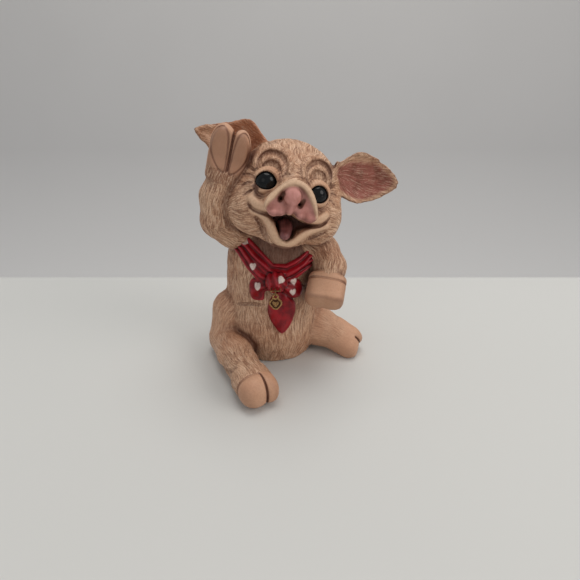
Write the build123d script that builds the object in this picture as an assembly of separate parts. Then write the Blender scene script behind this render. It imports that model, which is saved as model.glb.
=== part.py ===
from build123d import *

import os

# Seated pig figurine in cast resin, with glass eyes, a neckerchief and a small hanging charm.
# Millimetres, +Z up. The origin is the middle of the torso's flat base and the front faces -Y.
# Right and left are the pig's own, so its right side is at -X.
# Every casting is shaped whole, then cut back to its seat on the casting that carries it.
# Names that end in share or shares are parts of a length, a width or a whole outline.

# Fits
glue_line = 0.1
overrun = 60.0

# Torso
torso_height = 60.0
torso_half_width = 19.6
torso_half_depth = 17.6
# height, half width, half depth, set back
torso_shares = (
    (0.0, 0.86, 0.92, 0.0),
    (0.2, 1.0, 1.04, 0.0),
    (0.42, 1.02, 1.02, 0.01),
    (0.68, 1.0, 0.88, 0.03),
    (0.84, 0.87, 0.72, 0.05),
    (1.0, 0.5, 0.5, 0.05),
)

# Head, shaped level and then turned and tilted on the neck
head_half_width = 21.6
head_half_height = 19.4
head_half_depth = 19.0
head_centre_shares = (0.31, -0.44, 1.173)
head_turn = 5.0
head_lift = -13.0
head_tilt = 11.0
# depth from the back of the head (+) to the face (-)
head_depth_shares = (1.02, 0.88, 0.62, 0.2, -0.26, -0.62, -0.86, -1.04)
# half of each outline from crown to chin, one row for each depth
head_outline_shares = (
    ((0.0, 0.3), (0.15, 0.24), (0.2, 0.0), (0.13, -0.2), (0.0, -0.24)),
    ((0.0, 0.64), (0.37, 0.5), (0.54, 0.0), (0.34, -0.42), (0.0, -0.5)),
    ((0.0, 0.9), (0.5, 0.7), (0.77, 0.04), (0.5, -0.62), (0.0, -0.72)),
    ((0.0, 1.12), (0.6, 0.9), (0.96, 0.0), (0.66, -0.76), (0.0, -0.9)),
    ((0.0, 1.1), (0.6, 0.86), (1.01, -0.2), (0.7, -0.79), (0.0, -0.95)),
    ((0.0, 0.9), (0.52, 0.68), (0.88, -0.26), (0.6, -0.78), (0.0, -0.97)),
    ((0.0, 0.6), (0.32, 0.42), (0.65, -0.32), (0.44, -0.76), (0.0, -0.95)),
    ((0.0, 0.36), (0.2, 0.24), (0.4, -0.3), (0.27, -0.66), (0.0, -0.84)),
)

# Mouth and tongue
lip_height_share = -0.3
mouth_width_share = 0.593
mouth_drop_share = 0.433
mouth_depth_share = -0.86
jaw_back_share = -0.3
# half widths of the jaw at the lip and at the chin
jaw_width_shares = (0.64, 0.3)
tongue_thickness_share = 0.14
tongue_length_share = 0.337
tongue_droop = 24.0
tongue_depth_share = -0.86
tongue_height_share = -0.56

# Snout, a short trunk that flares to a disc
snout_half_width = 9.0
snout_half_height = 6.6
snout_length = 9.0
snout_root_depth_share = -0.98
snout_centre_share = -0.01
# distance out, then size of the outline there
snout_trunk_shares = ((0.0, 1.0), (0.5, 0.8), (0.84, 0.96), (1.0, 0.98))
# half of the disc's outline, from its top to the notch under the nostrils
snout_outline_shares = (
    (0.0, 1.0),
    (0.5, 0.72),
    (0.84, 0.1),
    (1.0, -0.5),
    (0.76, -0.98),
    (0.36, -1.04),
    (0.0, -0.8),
)
snout_dish_share = 0.8
snout_dish_depth = 0.7
nose_pad_radius = 4.2
nose_pad_rise = 0.9
nostril_radius = 1.0
nostril_depth = 3.0
nostril_spread = 3.3

# Glass eyes, a stock 8 mm ball each, with lids and brows round them
eye_diameter = 8.0
eye_spread = 8.9
right_eye_rise = 4.2
left_eye_rise = 2.7
eye_depth_share = -0.84
eye_turn = 24.0
eyelid_radius = 0.9
eyelid_setback = 0.4
brow_radii = (4.4, 6.9)
brow_thickness = 1.35
brow_height_share = 0.474
brow_depth_share = -0.74
brow_arc = 186.0
brow_recline = 27.0

# Ears, the same leaf-shaped cup on both sides
ear_length = 24.0
ear_half_width = 10.4
ear_thickness = 2.2
ear_cup_radius = 18.0
# the leaf's outline from its root, up over the tip and back along the lower edge
ear_leaf_shares = (
    (0.0, 0.56),
    (0.3, 1.0),
    (0.66, 0.7),
    (1.0, 0.0),
    (0.7, -0.66),
    (0.34, -0.94),
    (0.0, -0.6),
)
left_ear_root_shares = (0.86, 0.1, 0.56)
left_ear_turn = (4.0, -5.0, 0.0)
right_ear_root_shares = (-0.54, 0.26, 0.86)
right_ear_turn = (0.0, 2.0, -6.0)

# Arms. Points are shares of the torso's half width, half depth and height, radii of the mean of the first two
right_arm_shares = (
    (-0.4, -0.1, 0.9),
    (-0.78, -0.3, 0.94),
    (-1.02, -0.46, 1.03),
    (-1.0, -0.54, 1.18),
    (-0.83, -0.58, 1.33),
)
right_arm_radius_shares = (0.301, 0.371, 0.392, 0.376, 0.349)
left_arm_shares = (
    (0.62, -0.08, 0.84),
    (1.06, -0.2, 0.78),
    (1.22, -0.5, 0.7),
    (1.14, -0.86, 0.62),
)
left_arm_radius_shares = (0.333, 0.371, 0.344, 0.317)

# Legs, from the hip to the hock and from the hock to the foot
right_thigh_shares = ((-0.62, 0.0, 0.46), (-0.95, -0.24, 0.34), (-1.08, -0.4, 0.12))
right_thigh_radius_shares = (0.355, 0.409, 0.387)
right_foot_shares = ((-1.1, -0.4, 0.11), (-0.8, -1.15, 0.12), (-0.4, -2.08, 0.11))
right_foot_radius_shares = (0.387, 0.403, 0.371)
left_leg_shares = ((0.45, 0.0, 0.2), (1.0, -0.12, 0.17), (1.46, -0.3, 0.12))
left_leg_radius_shares = (0.473, 0.473, 0.387)

# Trotters
fore_hoof_half_width = 7.9
fore_hoof_half_thickness = 5.6
right_fore_hoof_length = 17.0
left_fore_hoof_length = 11.5
hind_hoof_half_width = 7.4
hind_hoof_half_thickness = 6.2
right_hind_hoof_length = 13.0
left_hind_hoof_length = 11.0
# distance out and size of each ellipse of the coronet
coronet_shares = ((0.0, 0.86), (0.3, 1.0), (0.66, 0.8))
claw_radius_share = 0.62
claw_offset_share = 0.38
claw_centre_share = 0.3
claw_splay = 1.0

# Tail, a curl that stands out from the rump
tail_radius = 1.4
tail_coil_radius = 3.4
tail_pitch = 3.6
tail_turns = 1.5
tail_height_share = 0.24
tail_root_share = 0.96

# Neckerchief, drawn as outlines in front view and laid on the chest
band_thickness = 1.8
end_thickness = 2.8
flap_thickness = 2.4
end_corner_radius = 1.0
flap_corner_radius = 2.0
# side and height shares of the torso, round each outline
band_front_shares = (
    (-1.3, 0.91),
    (-0.86, 0.91),
    (0.1, 0.73),
    (0.86, 0.82),
    (1.3, 0.82),
    (1.3, 0.7),
    (0.86, 0.7),
    (0.08, 0.6),
    (-0.86, 0.79),
    (-1.3, 0.79),
)
band_back_shares = (
    (-1.3, 0.91),
    (-0.86, 0.91),
    (0.86, 0.82),
    (1.3, 0.82),
    (1.3, 0.7),
    (0.86, 0.7),
    (-0.86, 0.79),
    (-1.3, 0.79),
)
right_end_shares = ((0.0, 0.66), (-0.24, 0.64), (-0.5, 0.55), (-0.46, 0.49), (-0.2, 0.5), (0.02, 0.58))
left_end_shares = ((0.16, 0.66), (0.38, 0.67), (0.62, 0.63), (0.64, 0.56), (0.42, 0.54), (0.2, 0.6))
flap_shares = ((0.02, 0.56), (-0.1, 0.45), (0.0, 0.33), (0.16, 0.27), (0.36, 0.32), (0.42, 0.42), (0.22, 0.56))
knot_radius = 4.3
knot_centre_shares = (0.1, 0.655)
knot_sink = 1.4

# Charm, its ring and the staple that carries them
wire_radius = 0.26
staple_half_width = 1.7
staple_reach = 1.9
staple_root = 1.8
staple_drop = 0.8
staple_fit = 0.05
ring_radius = 1.35
link_clearance = 0.15
charm_half_width = 2.5
charm_length = 5.6
charm_thickness = 0.8
charm_rim_share = 0.78
charm_recess = 0.2
charm_hole_radius = 0.66
charm_tab_radius = 1.2
charm_outline_shares = ((0.0, 0.0), (0.62, -0.2), (1.0, -0.5), (0.62, -0.82), (0.0, -1.0))
charm_heart_shares = ((0.0, -0.42), (0.34, -0.34), (0.5, -0.5), (0.26, -0.68), (0.0, -0.82))

os.makedirs("parts", exist_ok=True)


def on_torso(shares):
    side, depth, rise = shares
    return Vector(side * torso_half_width, depth * torso_half_depth, rise * torso_height)


def on_head(shares):
    side, depth, rise = shares
    return Vector(side * head_half_width, depth * head_half_depth, rise * head_half_height)


def egg(radius, half_length):
    """An ellipse turned about Z."""
    half = Ellipse(radius, half_length) & Pos(radius, 0) * Rectangle(2 * radius, 2 * half_length)
    return revolve(Plane.XZ * half, Axis.Z)


def mirrored_outline(shares, half_width, half_height):
    """A closed face of four smooth quarters, from its +X half, top to bottom."""
    near = [(x * half_width, y * half_height) for x, y in shares]
    far = [(-x, y) for x, y in reversed(near)]
    widest = near.index(max(near))
    turn = len(near) - 1 - widest
    quarters = [
        Spline(*near[: widest + 1], tangents=[(1, 0), (0, -1)]),
        Spline(*near[widest:], tangents=[(0, -1), (-1, 0)]),
        Spline(*far[: turn + 1], tangents=[(-1, 0), (0, 1)]),
        Spline(*far[turn:], tangents=[(0, 1), (1, 0)]),
    ]
    return make_face(quarters)


def largest(shape):
    """The main solid of a cut, without slivers that a seat can leave."""
    return max(shape.solids(), key=lambda solid: solid.volume)


def above_ground(shape):
    """Cuts a casting flat where the figurine stands."""
    return largest(shape & Pos(0, 0, overrun) * Box(4 * overrun, 4 * overrun, 2 * overrun))


def limb_radius(share):
    return share * (torso_half_width + torso_half_depth) / 2


def limb(shares, radius_shares):
    """A fleshy tube through points on the torso's scale. Returns it and the plane of its end."""
    points = [on_torso(share) for share in shares]
    planes = []
    for index, point in enumerate(points):
        before = points[max(index - 1, 0)]
        after = points[min(index + 1, len(points) - 1)]
        planes.append(Plane(origin=point, x_dir=(1, 0, 0), z_dir=after - before))
    sections = []
    for plane, share in zip(planes, radius_shares):
        sections.append(plane * Circle(limb_radius(share)))
    return loft(sections), planes[-1]


def torso_form(grow=0.0):
    """An upright bean, flat underneath."""
    sections = []
    for height, width, depth, back in torso_shares:
        half_width = width * torso_half_width + grow
        half_depth = depth * torso_half_depth + grow
        place = Pos(0, back * torso_half_depth, height * torso_height)
        sections.append(place * Ellipse(half_width, half_depth))
    return loft(sections)


def torso_front(height):
    """Y of the torso's front at a height, between the sections of its outline."""
    for low, high in zip(torso_shares, torso_shares[1:]):
        if height <= high[0] * torso_height:
            break
    along = (height / torso_height - low[0]) / (high[0] - low[0])
    edges = [back - depth for _, _, depth, back in (low, high)]
    return (edges[0] + (edges[1] - edges[0]) * along) * torso_half_depth


def head_form(grow=0.0):
    """The skull, cheeks and chin as one smooth skin, level and facing -Y."""
    sections = []
    for depth, outline in zip(head_depth_shares, head_outline_shares):
        face = mirrored_outline(outline, head_half_width + grow, head_half_height + grow)
        sections.append(Pos(0, depth * head_half_depth, 0) * Rot(90, 0, 0) * face)
    return loft(sections)


def eye_frame(side):
    """An eye's centre, with local +Z along its line of sight and +Y up."""
    rise = left_eye_rise if side > 0 else right_eye_rise
    place = Pos(side * eye_spread, eye_depth_share * head_half_depth, rise)
    return place * Rot(90, 0, 0) * Rot(0, side * eye_turn, 0)


def eye_surround(side):
    """The lid ring of one eye and the two brow folds on the forehead above it."""
    folds = [eye_frame(side) * Pos(0, 0, -eyelid_setback) * Torus(eye_diameter / 2, eyelid_radius)]
    brow = Pos(side * eye_spread, brow_depth_share * head_half_depth, brow_height_share * head_half_height)
    brow = brow * Rot(90, 0, 0) * Rot(0, side * eye_turn, 0) * Rot(-brow_recline, 0, 0)
    for radius in brow_radii:
        path = CenterArc((0, 0), radius, 90 - brow_arc / 2, brow_arc)
        start = Plane(origin=path @ 0, z_dir=path % 0) * Circle(brow_thickness)
        ends = [Pos(path @ end) * Sphere(brow_thickness) for end in (0, 1)]
        folds.append(brow * (sweep(start, path=path) + ends))
    return folds


def mouth_ball(shrink=0.0):
    """The ball whose lowest part hollows the open mouth."""
    half_width = mouth_width_share * head_half_width
    drop = mouth_drop_share * head_half_height
    radius = (half_width**2 + drop**2) / (2 * drop)
    lip = Pos(on_head((0, mouth_depth_share, lip_height_share)))
    return lip * Pos(0, 0, radius - drop) * Sphere(radius - shrink)


def mouth_bowl():
    """The hollow of the open mouth, below the upper lip."""
    lip = Pos(0, 0, lip_height_share * head_half_height)
    return mouth_ball() & lip * Pos(0, 0, -overrun / 2) * Box(2 * overrun, 2 * overrun, overrun)


def tongue_form():
    """A round-ended rod along Z, its middle at the origin."""
    radius = tongue_thickness_share * head_half_height
    reach = tongue_length_share * head_half_depth - radius
    ends = [Pos(0, 0, side * reach) * Sphere(radius) for side in (-1, 1)]
    return Cylinder(radius, 2 * reach) + ends


def jaw_block(grow=0.0):
    """The wedge below the lip line and between the cheeks that the lower jaw fills."""
    top = lip_height_share * head_half_height + grow
    bottom = -head_half_height
    back = jaw_back_share * head_half_depth + grow
    wide, narrow = [share * head_half_width + grow for share in jaw_width_shares]
    front_view = Polyline((-wide, top), (wide, top), (narrow, bottom), (-narrow, bottom), close=True)
    return Pos(0, back, 0) * extrude(Plane.XZ * make_face(front_view), overrun)


def snout_form():
    """A trunk that flares to a dished disc, with a pad between two nostrils."""
    sections = []
    for along, size in snout_trunk_shares:
        face = mirrored_outline(snout_outline_shares, size * snout_half_width, size * snout_half_height)
        sections.append(Pos(0, -along * snout_length, 0) * Rot(90, 0, 0) * face)
    trunk = loft(sections)
    dish_width = snout_dish_share * snout_half_width
    dish_face = mirrored_outline(snout_outline_shares, dish_width, snout_dish_share * snout_half_height)
    floor = Pos(0, snout_dish_depth - snout_length, 0)
    dish = floor * Rot(90, 0, 0) * extrude(dish_face, snout_length)
    pad = floor * Pos(0, nose_pad_radius - nose_pad_rise, 0) * Sphere(nose_pad_radius)
    bore = Rot(-90, 0, 0) * Cone(nostril_radius, nostril_radius / 2, 2 * nostril_depth)
    bores = [floor * Pos(side * nostril_spread, 0, 0) * bore for side in (-1, 1)]
    return trunk - dish + pad - bores


def ear_form():
    """A leaf cut from a hollow ball, root at the origin, tip at +X, hollow towards -Y."""
    outline = [(x * ear_length, y * ear_half_width) for x, y in ear_leaf_shares]
    leaf = extrude(Plane.XZ * make_face(Spline(*outline, periodic=True)), ear_cup_radius * 2, both=True)
    ball = Sphere(ear_cup_radius + ear_thickness) - Sphere(ear_cup_radius)
    back_half = Pos(0, overrun / 2, 0) * Box(overrun * 2, overrun, overrun * 2)
    centre = Pos(ear_length / 2, -ear_cup_radius, 0)
    return largest((centre * (ball & back_half)) & leaf)


def hoof_form(half_width, half_thickness, length):
    """Two claws on a short coronet, seated on the XY plane and pointing up."""
    sections = []
    for along, size in coronet_shares:
        sections.append(Pos(0, 0, along * length) * Ellipse(size * half_width, size * half_thickness))
    whole = loft(sections)
    claw = egg(claw_radius_share * half_width, (1 - claw_centre_share) * length)
    for side in (-1, 1):
        place = Pos(side * claw_offset_share * half_width, 0, claw_centre_share * length)
        whole = whole + place * Rot(0, side * claw_splay, 0) * claw
    return whole & Pos(0, 0, overrun) * Box(2 * overrun, 2 * overrun, 2 * overrun)


def front_prism(outline, depth, grow=0.0, corner_radius=0.0):
    """An outline drawn in front view on the torso's scale, pushed along Y from the middle."""
    points = [(x * torso_half_width, z * torso_height) for x, z in outline]
    face = make_face(Polyline(*points, close=True))
    if corner_radius:
        face = fillet(face.vertices(), corner_radius)
    if grow:
        face = offset(face, grow, kind=Kind.INTERSECTION)
    return extrude(Plane.XZ * face, depth)


def band_form(grow=0.0):
    """A strip round the neck, on the torso's skin, that dips to the knot in front."""
    front = front_prism(band_front_shares, overrun, grow)
    back = front_prism(band_back_shares, -overrun, grow)
    return torso_form(band_thickness + grow) & (front + back)


def tail_form():
    """A curl with a rounded tip, root at the origin, standing out along +Z."""
    path = Helix(tail_pitch, tail_pitch * tail_turns, tail_coil_radius)
    start = Plane(origin=path @ 0, z_dir=path % 0) * Circle(tail_radius)
    return sweep(start, path=path, is_frenet=True) + Pos(path @ 1) * Sphere(tail_radius)


def rod(start, end, radius):
    """A round bar between two points."""
    axis = end - start
    return Plane(origin=start, z_dir=axis) * extrude(Circle(radius), axis.length)


def staple_form(grow=0.0):
    """A square staple, the middle of its bar at the origin and its legs towards +Y."""
    leg_length = staple_reach + staple_root
    corners = [Vector(side * staple_half_width, 0, 0) for side in (-1, 1)]
    bars = [rod(corners[0], corners[1], wire_radius + grow)]
    for corner in corners:
        bars.append(rod(corner, corner + Vector(0, leg_length, 0), wire_radius + grow))
        bars.append(Pos(corner) * Sphere(wire_radius + grow))
    return bars[0].fuse(*bars[1:])


def charm_form():
    """A pointed drop with a sunk face and a raised heart, the middle of its hole at the origin."""
    outline = mirrored_outline(charm_outline_shares, charm_half_width, charm_length)
    drop = extrude(Plane.XZ * outline, charm_thickness / 2, both=True)
    tab = Rot(90, 0, 0) * Cylinder(charm_tab_radius, charm_thickness)
    middle = Pos(0, 0, -charm_length / 2)
    sunk_outline = scale(Plane.XZ * outline, by=charm_rim_share)
    sunk_outline = Pos(0, 0, -charm_length * (1 - charm_rim_share) / 2) * sunk_outline
    sunk = Pos(0, charm_recess - charm_thickness / 2, 0) * extrude(sunk_outline, charm_thickness)
    heart = extrude(
        Plane.XZ * mirrored_outline(charm_heart_shares, charm_half_width, charm_length),
        charm_thickness / 2,
    )
    hole = Rot(90, 0, 0) * Cylinder(charm_hole_radius, 2 * charm_thickness)
    return (drop - sunk) + heart + tab - hole


torso_seat = torso_form(glue_line)
castings = {"torso": torso_form()}

# Head and face
head_place = Pos(on_torso(head_centre_shares)) * Rot(0, 0, head_turn)
head_place = head_place * Rot(head_lift, 0, 0) * Rot(0, head_tilt, 0)
neck_seat = head_place.inverse() * torso_seat
flesh = head_form()
for side in (-1, 1):
    flesh = flesh + eye_surround(side)
eye_seats = [eye_frame(side) * Sphere(eye_diameter / 2 + glue_line) for side in (-1, 1)]
flesh = flesh - eye_seats - mouth_bowl() - neck_seat
castings["head"] = head_place * largest(flesh - jaw_block(glue_line))
castings["lower_jaw"] = head_place * largest(flesh & jaw_block())
tongue_place = Pos(on_head((0, tongue_depth_share, tongue_height_share))) * Rot(tongue_droop, 0, 0)
tongue = tongue_place * Rot(90, 0, 0) * tongue_form()
castings["tongue"] = head_place * largest(tongue & mouth_ball(glue_line))
snout = Pos(on_head((0, snout_root_depth_share, snout_centre_share))) * snout_form()
castings["snout"] = head_place * largest(snout - head_form(glue_line) - eye_seats)
for name, side in (("right_eye", -1), ("left_eye", 1)):
    castings[name] = head_place * eye_frame(side) * Sphere(eye_diameter / 2)

# Ears
head_seat = head_place * head_form(glue_line)
left_ear = Rot(*left_ear_turn) * ear_form()
right_ear = Rot(*right_ear_turn) * mirror(ear_form(), about=Plane.YZ)
left_ear = head_place * Pos(on_head(left_ear_root_shares)) * left_ear
right_ear = head_place * Pos(on_head(right_ear_root_shares)) * right_ear
castings["left_ear"] = largest(left_ear - head_seat)
castings["right_ear"] = largest(right_ear - head_seat)

# Neckerchief's band, which the arms press against
knot_height = knot_centre_shares[1] * torso_height
knot_side = knot_centre_shares[0] * torso_half_width
knot_depth = torso_front(knot_height) - knot_radius + knot_sink
knot_place = Pos(knot_side, knot_depth, knot_height)
knot_seat = knot_place * Sphere(knot_radius + glue_line)
castings["bandana_band"] = largest(band_form() - torso_seat - knot_seat - head_seat)
band_seat = band_form(glue_line)

# Arms and fore trotters
for name, shares, radius_shares, length in (
    ("right", right_arm_shares, right_arm_radius_shares, right_fore_hoof_length),
    ("left", left_arm_shares, left_arm_radius_shares, left_fore_hoof_length),
):
    arm, wrist = limb(shares, radius_shares)
    hoof = hoof_form(fore_hoof_half_width, fore_hoof_half_thickness, length)
    castings[f"{name}_arm"] = largest(arm - torso_seat - head_seat - band_seat)
    castings[f"{name}_fore_hoof"] = largest(wrist * Pos(0, 0, glue_line) * hoof - head_seat)

# Legs and hind trotters
thigh, _ = limb(right_thigh_shares, right_thigh_radius_shares)
foot, right_ankle = limb(right_foot_shares, right_foot_radius_shares)
hock = Pos(on_torso(right_foot_shares[0])) * Sphere(limb_radius(right_foot_radius_shares[0]))
right_leg = thigh + foot + hock
left_leg, left_ankle = limb(left_leg_shares, left_leg_radius_shares)
for name, leg, ankle, length in (
    ("right", right_leg, right_ankle, right_hind_hoof_length),
    ("left", left_leg, left_ankle, left_hind_hoof_length),
):
    hoof = hoof_form(hind_hoof_half_width, hind_hoof_half_thickness, length)
    castings[f"{name}_leg"] = above_ground(leg - torso_seat)
    castings[f"{name}_hind_hoof"] = above_ground(ankle * Pos(0, 0, glue_line) * hoof)

# Tail
tail_place = Pos(on_torso((0, tail_root_share, tail_height_share))) * Rot(-90, 0, 0)
castings["tail"] = largest(tail_place * tail_form() - torso_seat)

# Neckerchief's loose pieces, with the charm's staple let into its knot
bar_place = Pos(knot_side, knot_depth - knot_radius - staple_reach, knot_height - staple_drop)
knot = knot_place * Sphere(knot_radius) - torso_seat
castings["bandana_knot"] = largest(knot - bar_place * staple_form(staple_fit))
for name, outline, thickness, corner_radius in (
    ("right_end", right_end_shares, end_thickness, end_corner_radius),
    ("left_end", left_end_shares, end_thickness, end_corner_radius),
    ("tail", flap_shares, flap_thickness, flap_corner_radius),
):
    prism = front_prism(outline, overrun, corner_radius=corner_radius)
    cloth = (torso_form(thickness) & prism) - torso_seat
    castings[f"bandana_{name}"] = largest(cloth - knot_seat - band_seat)
castings["pendant_staple"] = bar_place * staple_form()

# Ring and charm, hanging straight down
ring_drop = ring_radius - 2 * wire_radius - link_clearance
ring_place = bar_place * Pos(0, 0, -ring_drop)
castings["pendant_ring"] = ring_place * Rot(0, 90, 0) * Torus(ring_radius, wire_radius)
hole_drop = ring_radius + charm_hole_radius - wire_radius - link_clearance
castings["pendant_charm"] = ring_place * Pos(0, 0, -hole_drop) * charm_form()

for name, casting in castings.items():
    export_step(casting, f"parts/{name}.step")
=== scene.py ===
import math
import time

import bpy
import numpy as np
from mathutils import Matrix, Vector


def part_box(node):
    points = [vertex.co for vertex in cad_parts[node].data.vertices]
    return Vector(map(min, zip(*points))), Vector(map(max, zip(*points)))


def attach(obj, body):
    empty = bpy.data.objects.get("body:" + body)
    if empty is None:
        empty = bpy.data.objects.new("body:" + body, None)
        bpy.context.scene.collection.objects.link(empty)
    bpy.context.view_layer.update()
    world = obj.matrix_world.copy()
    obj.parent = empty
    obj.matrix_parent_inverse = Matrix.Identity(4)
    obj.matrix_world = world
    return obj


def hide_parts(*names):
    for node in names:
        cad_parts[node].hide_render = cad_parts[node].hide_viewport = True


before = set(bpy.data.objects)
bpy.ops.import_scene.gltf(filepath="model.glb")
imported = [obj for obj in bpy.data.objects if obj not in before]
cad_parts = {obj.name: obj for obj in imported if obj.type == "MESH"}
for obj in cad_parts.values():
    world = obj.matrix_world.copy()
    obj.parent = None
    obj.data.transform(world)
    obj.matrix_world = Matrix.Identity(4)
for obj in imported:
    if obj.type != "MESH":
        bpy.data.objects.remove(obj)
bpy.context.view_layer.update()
startTime = time.time()
mm = 0.001
farAway = 50  # a distance that keeps a line off the back of a form


def stage(words):
    print(f"{words}, {time.time() - startTime:.0f} s")


# Distances to simple forms, in millimetres, negative inside


def smoothMin(a, b, k):
    h = np.maximum(k - np.abs(a - b), 0) / k
    return np.minimum(a, b) - h * h * k / 4


def smoothMax(a, b, k):
    return -smoothMin(-a, -b, k)


def smoothStep(low, high, value):
    t = np.clip((value - low) / (high - low), 0, 1)
    return t * t * (3 - 2 * t)


# Turns about X, then Y, then Z of the last frame, in degrees
def turnMatrix(x, y, z):
    cx, sx = math.cos(math.radians(x)), math.sin(math.radians(x))
    cy, sy = math.cos(math.radians(y)), math.sin(math.radians(y))
    cz, sz = math.cos(math.radians(z)), math.sin(math.radians(z))
    aboutX = np.array([[1, 0, 0], [0, cx, -sx], [0, sx, cx]])
    aboutY = np.array([[cy, 0, sy], [0, 1, 0], [-sy, 0, cy]])
    aboutZ = np.array([[cz, -sz, 0], [sz, cz, 0], [0, 0, 1]])
    return aboutX @ aboutY @ aboutZ


def toLocal(p, origin, turn):
    return (p - np.array(origin)) @ turn


def ball(p, centre, radii):
    q = (p - np.array(centre)) / np.array(radii)
    inner = np.linalg.norm(q, axis=1)
    outer = np.linalg.norm(q / np.array(radii), axis=1)
    return inner * (inner - 1) / np.maximum(outer, 1e-6)


# A rod with round ends that may taper
def cone(p, start, end, startRadius, endRadius):
    start, end = np.array(start, float), np.array(end, float)
    axis = end - start
    along = np.clip((p - start) @ axis / (axis @ axis), 0, 1)
    gap = np.linalg.norm(p - start - along[:, None] * axis, axis=1)
    return gap - startRadius - along * (endRadius - startRadius)


# Rods through points, melted together
def chain(p, points, radii, blend=2.0):
    d = cone(p, points[0], points[1], radii[0], radii[1])
    for i in range(1, len(points) - 1):
        d = smoothMin(d, cone(p, points[i], points[i + 1], radii[i], radii[i + 1]), blend)
    return d


# Distance to a drawn line in a plane, and how far along it the nearest point is
def linePath(u, v, points):
    best = np.full(len(u), 1e3)
    place = np.zeros(len(u))
    points = np.array(points, float)
    for i in range(len(points) - 1):
        a, b = points[i], points[i + 1]
        e = b - a
        t = np.clip(((u - a[0]) * e[0] + (v - a[1]) * e[1]) / (e @ e), 0, 1)
        d = np.hypot(u - a[0] - t * e[0], v - a[1] - t * e[1])
        nearer = d < best
        best = np.where(nearer, d, best)
        place = np.where(nearer, (i + t) / (len(points) - 1), place)
    return best, place


# A ridge along a drawn line that lies on a surface. Lift is the distance from that surface
def inkLine(u, v, lift, points, radius, taper=0.35):
    gap, along = linePath(u, v, smoothLine(points))
    width = radius * (taper + (1 - taper) * np.sin(np.pi * np.clip(along, 0.02, 0.98)) ** 0.5)
    return np.hypot(gap, lift) - width


# A smooth curve through drawn points
def smoothLine(points, steps=5, closed=False):
    points = np.array(points, float)
    n = len(points)
    out = []
    for i in range(n if closed else n - 1):
        if closed:
            a, b, c, d = (points[(i + j) % n] for j in (-1, 0, 1, 2))
        else:
            a, b, c, d = points[max(i - 1, 0)], points[i], points[i + 1], points[min(i + 2, n - 1)]
        for t in np.arange(steps) / steps:
            out.append(
                0.5 * (2 * b + (c - a) * t + (2 * a - 5 * b + 4 * c - d) * t**2 + (3 * b - a - 3 * c + d) * t**3)
            )
    if not closed:
        out.append(points[-1])
    return np.array(out)


# Signed distance to a closed smooth outline in a plane
def outlineDistance(u, v, points, steps=5):
    points = smoothLine(points, steps, closed=True)
    best = np.full(len(u), 1e6)
    inside = np.zeros(len(u), bool)
    for i in range(len(points)):
        a, b = points[i], points[(i + 1) % len(points)]
        e = b - a
        t = np.clip(((u - a[0]) * e[0] + (v - a[1]) * e[1]) / (e @ e), 0, 1)
        best = np.minimum(best, (u - a[0] - t * e[0]) ** 2 + (v - a[1] - t * e[1]) ** 2)
        crosses = (a[1] > v) != (b[1] > v)
        if abs(e[1]) > 1e-9:
            inside ^= crosses & (u < e[0] * (v - a[1]) / e[1] + a[0])
    return np.where(inside, -1, 1) * np.sqrt(best)


# Seeded lattice noise, for strokes and unevenness

hashing = {"x": 73856093, "y": 19349663, "z": 83492791, "seed": 2654435761, "mix": 1274126177}


def latticeNoise(p, size, seed=0):
    q = p / size
    cell = np.floor(q).astype(np.int64)
    f = q - cell
    f = f * f * (3 - 2 * f)
    total = np.zeros(len(p))
    for dx in (0, 1):
        for dy in (0, 1):
            for dz in (0, 1):
                c = cell + (dx, dy, dz)
                h = (c[:, 0] * hashing["x"]) ^ (c[:, 1] * hashing["y"]) ^ (c[:, 2] * hashing["z"]) ^ (seed * hashing["seed"])
                h = (h ^ (h >> 13)) * hashing["mix"] & 0xFFFFFFFF
                value = ((h ^ (h >> 16)) & 0xFFFF) / 65535
                weight = np.abs(1 - dx - f[:, 0]) * np.abs(1 - dy - f[:, 1]) * np.abs(1 - dz - f[:, 2])
                total += value * weight
    return total


# Body. The torso's rows are height, half width, half depth and set back, as the solid has them

torsoShape = {
    "size": (19.6, 17.6, 60.0),  # half width, half depth and height, which the limbs' shares are of
    "rows": smoothLine([
        (-4.0, 16.0, 15.2, 0.0), (0.0, 16.9, 16.2, 0.0), (5.0, 18.6, 17.5, 0.0), (12.0, 19.6, 18.3, 0.0),
        (25.2, 20.0, 18.0, 0.18), (40.8, 19.6, 15.5, 0.53), (50.4, 17.0, 12.7, 0.88), (60.0, 9.8, 8.8, 0.88),
        (66.0, 6.0, 6.0, 0.88),
    ]),
    "neckTop": 62,
    "belly": ((0.5, -5.5, 13), (15.5, 13.6, 14)),
    "bellyFold": ((-14.5, 26.2), (-11, 27.6), (-7, 28.4), (-3, 28.4)),
}


def torsoForm(p):
    z = p[:, 2]
    rows = torsoShape["rows"]
    wide, deep, back = (np.interp(z, rows[:, 0], rows[:, i]) for i in (1, 2, 3))
    q = np.hypot(p[:, 0] / wide, (p[:, 1] - back) / deep)
    d = (q - 1) * np.minimum(wide, deep)
    d = smoothMax(d, z - torsoShape["neckTop"], 3)
    d = smoothMin(d, ball(p, *torsoShape["belly"]), 4)
    fold = inkLine(p[:, 0], z, np.where(p[:, 1] < 0, d, farAway), torsoShape["bellyFold"], 0.7, 0.2)
    return smoothMax(d, -fold, 0.5)


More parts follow.
